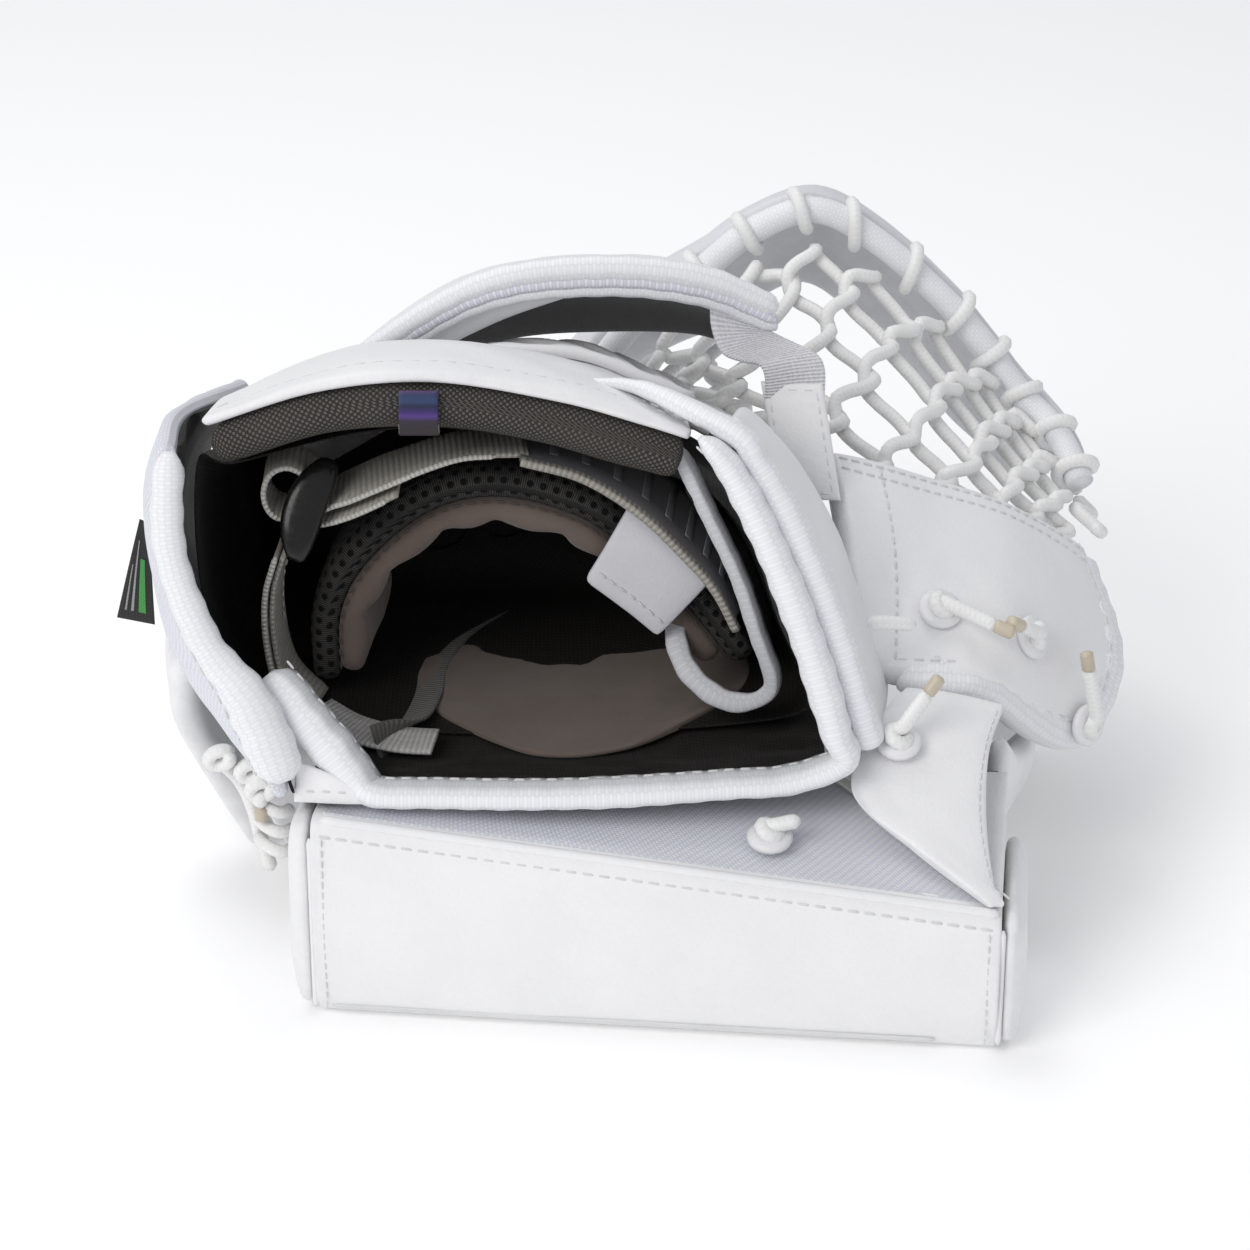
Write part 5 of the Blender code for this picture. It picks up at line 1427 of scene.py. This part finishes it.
def build_thumb():
    def folds(a, b, fa, fb):
        return 0.9 * creases(a, b, 81) * np.clip(1.2 - fa, 0, 1)

    pad = Pad(THUMB_SKIN, 10, 0, edge=4.0, crown=1.2, corner=6, step=2.4, bump=folds)
    bend(pad.build("thumb_cover", LEATHER, "palm", ["thumb_base", "thumb_pad"], fill=0.6))
    bend(pad.along("thumb_stitches_a", [0.94, 0.94], [0.03, 0.94], "palm", pitch=4.0, length=2.8))
    bend(pad.along("thumb_stitches_b", [0.885, 0.885], [0.03, 0.94], "palm", pitch=4.0,
                   length=2.8))
    bend(pad.along("thumb_stitches_c", [0.06, 0.94], [0.2, 0.2], "palm", pitch=4.2, length=2.8))
    lace = [(73.5, -54.5, 111.5), (77, -55, 112.5), (82, -54.5, 112), (88, -52.5, 110.5)]
    cord_piece("thumb_lace_cord", lace, LACE * 0.95, LACES, "palm")
    u = np.concatenate([np.zeros(11), np.linspace(0.05, 0.97, 9)])
    v = np.concatenate([np.linspace(0.0, 0.9, 11), np.ones(9)])
    place = THUMB_BACK(u, v) + 5 * normal_of(THUMB_BACK, u, v)
    inner = THUMB_BACK(np.clip(u + np.where(v < 1, 0.12, 0), 0, 1),
                       np.clip(v - np.where(v < 1, 0, 0.1), 0, 1))
    forward = unit(THUMB_BACK(u, v) - inner)
    line = resample(curve(place, even(80)), 6)
    grid = even(len(line))
    forward = curve(forward, grid)
    for _ in range(2):
        forward[1:-1] = (forward[:-2] + forward[1:-1] + forward[2:]) / 3
        line[1:-1] = (line[:-2] + 2 * line[1:-1] + line[2:]) / 4
    for piece in bind("thumb_tape", line, forward, 4.6, 7.5, "thumb", ["thumb_binding"], stitch=2,
                      front=4.2):
        bend(piece)
    Pad(THUMB_BACK, 10.6, 12.6, u=(0.08, 0.9), v=(0.5, 0.95), edge=0.9, step=4).build(
        "thumb_inner_panel", BOARD, "thumb", ["thumb_board"])
    face = surface([
        [(104, 30, 84), (126, 36, 78), (144, 42, 68)],
        [(100, 56, 48), (124, 58, 42), (146, 58, 38)],
        [(100, 78, 6), (124, 80, 3), (146, 76, 3)],
    ])
    front = Pad(face, 0, 7, edge=3, crown=1.5, corner=6, step=3, bump=folded(0.9, 83))
    front.build("thumb_face_cover", LEATHER, "thumb", ["thumb_face"], fill=0.5)
    ends = [offset(THUMB_BACK, np.array(0.55), v, 25) for v in (0.55, 0.9)]
    stall("thumb_sleeve", ends[0], ends[1], 10.0, "thumb", ["thumb_stall"])
    places = ((0.3, 0.25, "palm", (14, 0, -14)), (0.3, 0.6, "thumb", (-17, -3, 2)),
              (0.1, 0.93, "thumb", (-2, -4, 22)))
    for k, (u, v, body, tail) in enumerate(places):
        out = -normal_of(THUMB_BACK, np.array(u), np.array(v))
        tail = np.array(tail, float)
        tail = tail - out * tail.dot(out) + out * 2
        middle = THUMB_BACK(np.array(u), np.array(v)) + out * 2.6
        washer(f"thumb_washer_{k + 1}", middle, out, body, [f"thumb_lace_{k + 1}"], tail)


# Pocket

def twist_net(name, at, strands, rows, node, seed):
    """Laces that twist round their neighbours in turn, which makes a net of hexagons."""
    t = even(rows * 18)
    for i in range(strands):
        phase = math.pi * (t * rows + i)
        swing = np.cos(phase)
        swing = np.sign(swing) * np.minimum(np.abs(swing) ** 0.9 * 1.2, 1.1)
        u = (i + 0.5 + 0.5 * swing) / strands
        u = np.clip(u + 0.012 * noise(t * 7, t * 0 + i, seed), 0.0, 1.0)
        v = np.clip(t + 0.018 * noise(t * 9 + 3, t * 0 + i, seed + 1), 0, 1)
        over = -np.clip(np.sin(phase) / 0.55, -1, 1) * LACE * 0.9
        line = at(u, v) + over[:, None] * normal_of(at, u, v)
        cord_piece(f"{name}_{i + 1}", line, LACE, LACES, "palm", step=2.0, sides=8,
                   replaces=() if i else [node])


def build_pocket():
    # The band's leather, outer and inner skin alike, is the darker copy of the white leather:
    # painted shade for its shaded inner wall.
    band = Pad(band_at, 0, 5, edge=2.4, crown=0.6, step=3.2, bump=folded(0.5, 91))
    band.build("pocket_band_cover", SHADED_BAND_LEATHER, "palm", ["pocket_band"])
    t = even(90)
    roll = curve(ROLL_LINE, t) - (0, 6.2, 0)
    out = unit((roll - ROLL_MIDDLE) * (1, 0, 1))
    outline = round_outline(4.6, 14)[None] * (1 + 0.05 * noise(t * 14, t * 0, 93))[:, None, None]
    sweep("band_roll_tape", roll, out, outline, TAPE, "palm", replaces=["band_roll"])
    stitches("band_roll_stitches", roll + (0, 3.6, 0) + 3.0 * out, out, "palm", pitch=4.6)
    for k, place in enumerate(np.linspace(0.2, 0.97, 11)):
        i = int(place * 89)
        turn = np.linspace(-0.6, math.tau * 0.8, 12)[:, None]
        ahead = tangents(roll)[i]
        side = np.cross(ahead, out[i])
        ring = roll[i] + 6.6 * (np.cos(turn) * out[i] + np.sin(turn) * side) + ahead * turn * 1.1
        cord_piece(f"roll_loop_{k + 1}", ring, LACE, LACES, "palm", sides=8)
    twist_net("near_net", NET, strands=16, rows=7, node="pocket_net", seed=3)
    twist_net("far_net", FAR_NET, strands=6, rows=5, node="far_net", seed=5)
    line = curve([(152, 78, 97), (157, 70, 94), (150, 62, 100), (158, 54, 95), (153, 47, 101)],
                 even(30))
    cord_piece("web_lace_cord", line[::3], LACE, LACES, "palm", replaces=["web_lace"])


def build_left_edge():
    line = [(-130, -32, 56), (-122, -33, 48), (-118, -33, 38), (-116, -31, 26), (-113, -31, 14)]
    cord_piece("side_lace_cord", line, LACE, LACES, "palm", replaces=["side_lace"])
    for k, place in enumerate(((-126.5, -40, 59.5), (-117, -40, 55.0), (-114, -40, 48.5))):
        turn = np.linspace(0, math.tau * 1.1, 14)[:, None]
        knot = np.array(place) + 3.4 * np.cos(turn) * (1, 0, 0.2) + np.sin(turn) * (0, -1.6, 3.0)
        knot = knot + (0, -0.12, 0) * turn * 4
        cord_piece(f"side_knot_{k + 1}", knot, LACE * 0.95, LACES, "palm")
    for k, z in enumerate((40.0, 33.0, 26.0)):
        wrap = [(-117, -34, z + 2), (-113, -40, z + 1.5), (-108.5, -41, z), (-105, -36, z - 1)]
        cord_piece(f"side_wrap_{k + 1}", wrap, LACE * 0.9, LACES, "palm")
    tail = [(-114, -41, 48), (-114.4, -42, 45), (-114.4, -42, 42.5)]
    cord_piece("side_lace_tail", tail, LACE, LACES, "palm")
    tip = [tail[-1], (-114.3, -42, 40), (-114.2, -42, 37.5)]
    cord_piece("side_lace_tip", tip, LACE * 0.95, TIP, "palm", step=0.8)
    patch = surface([[(-147.2, -20, 95.5), (-151, -20, 96.3), (-159, -20, 98)],
                     [(-147.2, -20, 112), (-150, -20, 114), (-154.5, -20, 115)],
                     [(-147.2, -20, 130), (-148.6, -20, 130.8), (-150, -20, 131.5)]])
    Pad(patch, -0.5, 0.5, edge=0.4, step=1.2).build("label_patch", LABEL, "label", ["side_label"])
    for side, low, high in (("front", 0.45, 0.85), ("back", -0.85, -0.45)):
        for k, (u, v, look) in enumerate((((0.38, 0.60), (0.10, 0.62), LABEL_MARK),
                                          ((0.70, 0.76), (0.10, 0.80), LABEL_LINE),
                                          ((0.84, 0.88), (0.10, 0.55), LABEL_LINE))):
            Pad(patch, low, high, u=u, v=v, edge=0.2, step=1.5).build(
                f"label_bar_{side}_{k + 1}", look, "label")


build_palm()
build_thumb()
build_pocket()
build_left_edge()
for node, look in (("cuff_board", BOARD), ("cuff_foam", FOAM)):
    frame["nodes"][node].data.materials.clear()
    frame["nodes"][node].data.materials.append(look)
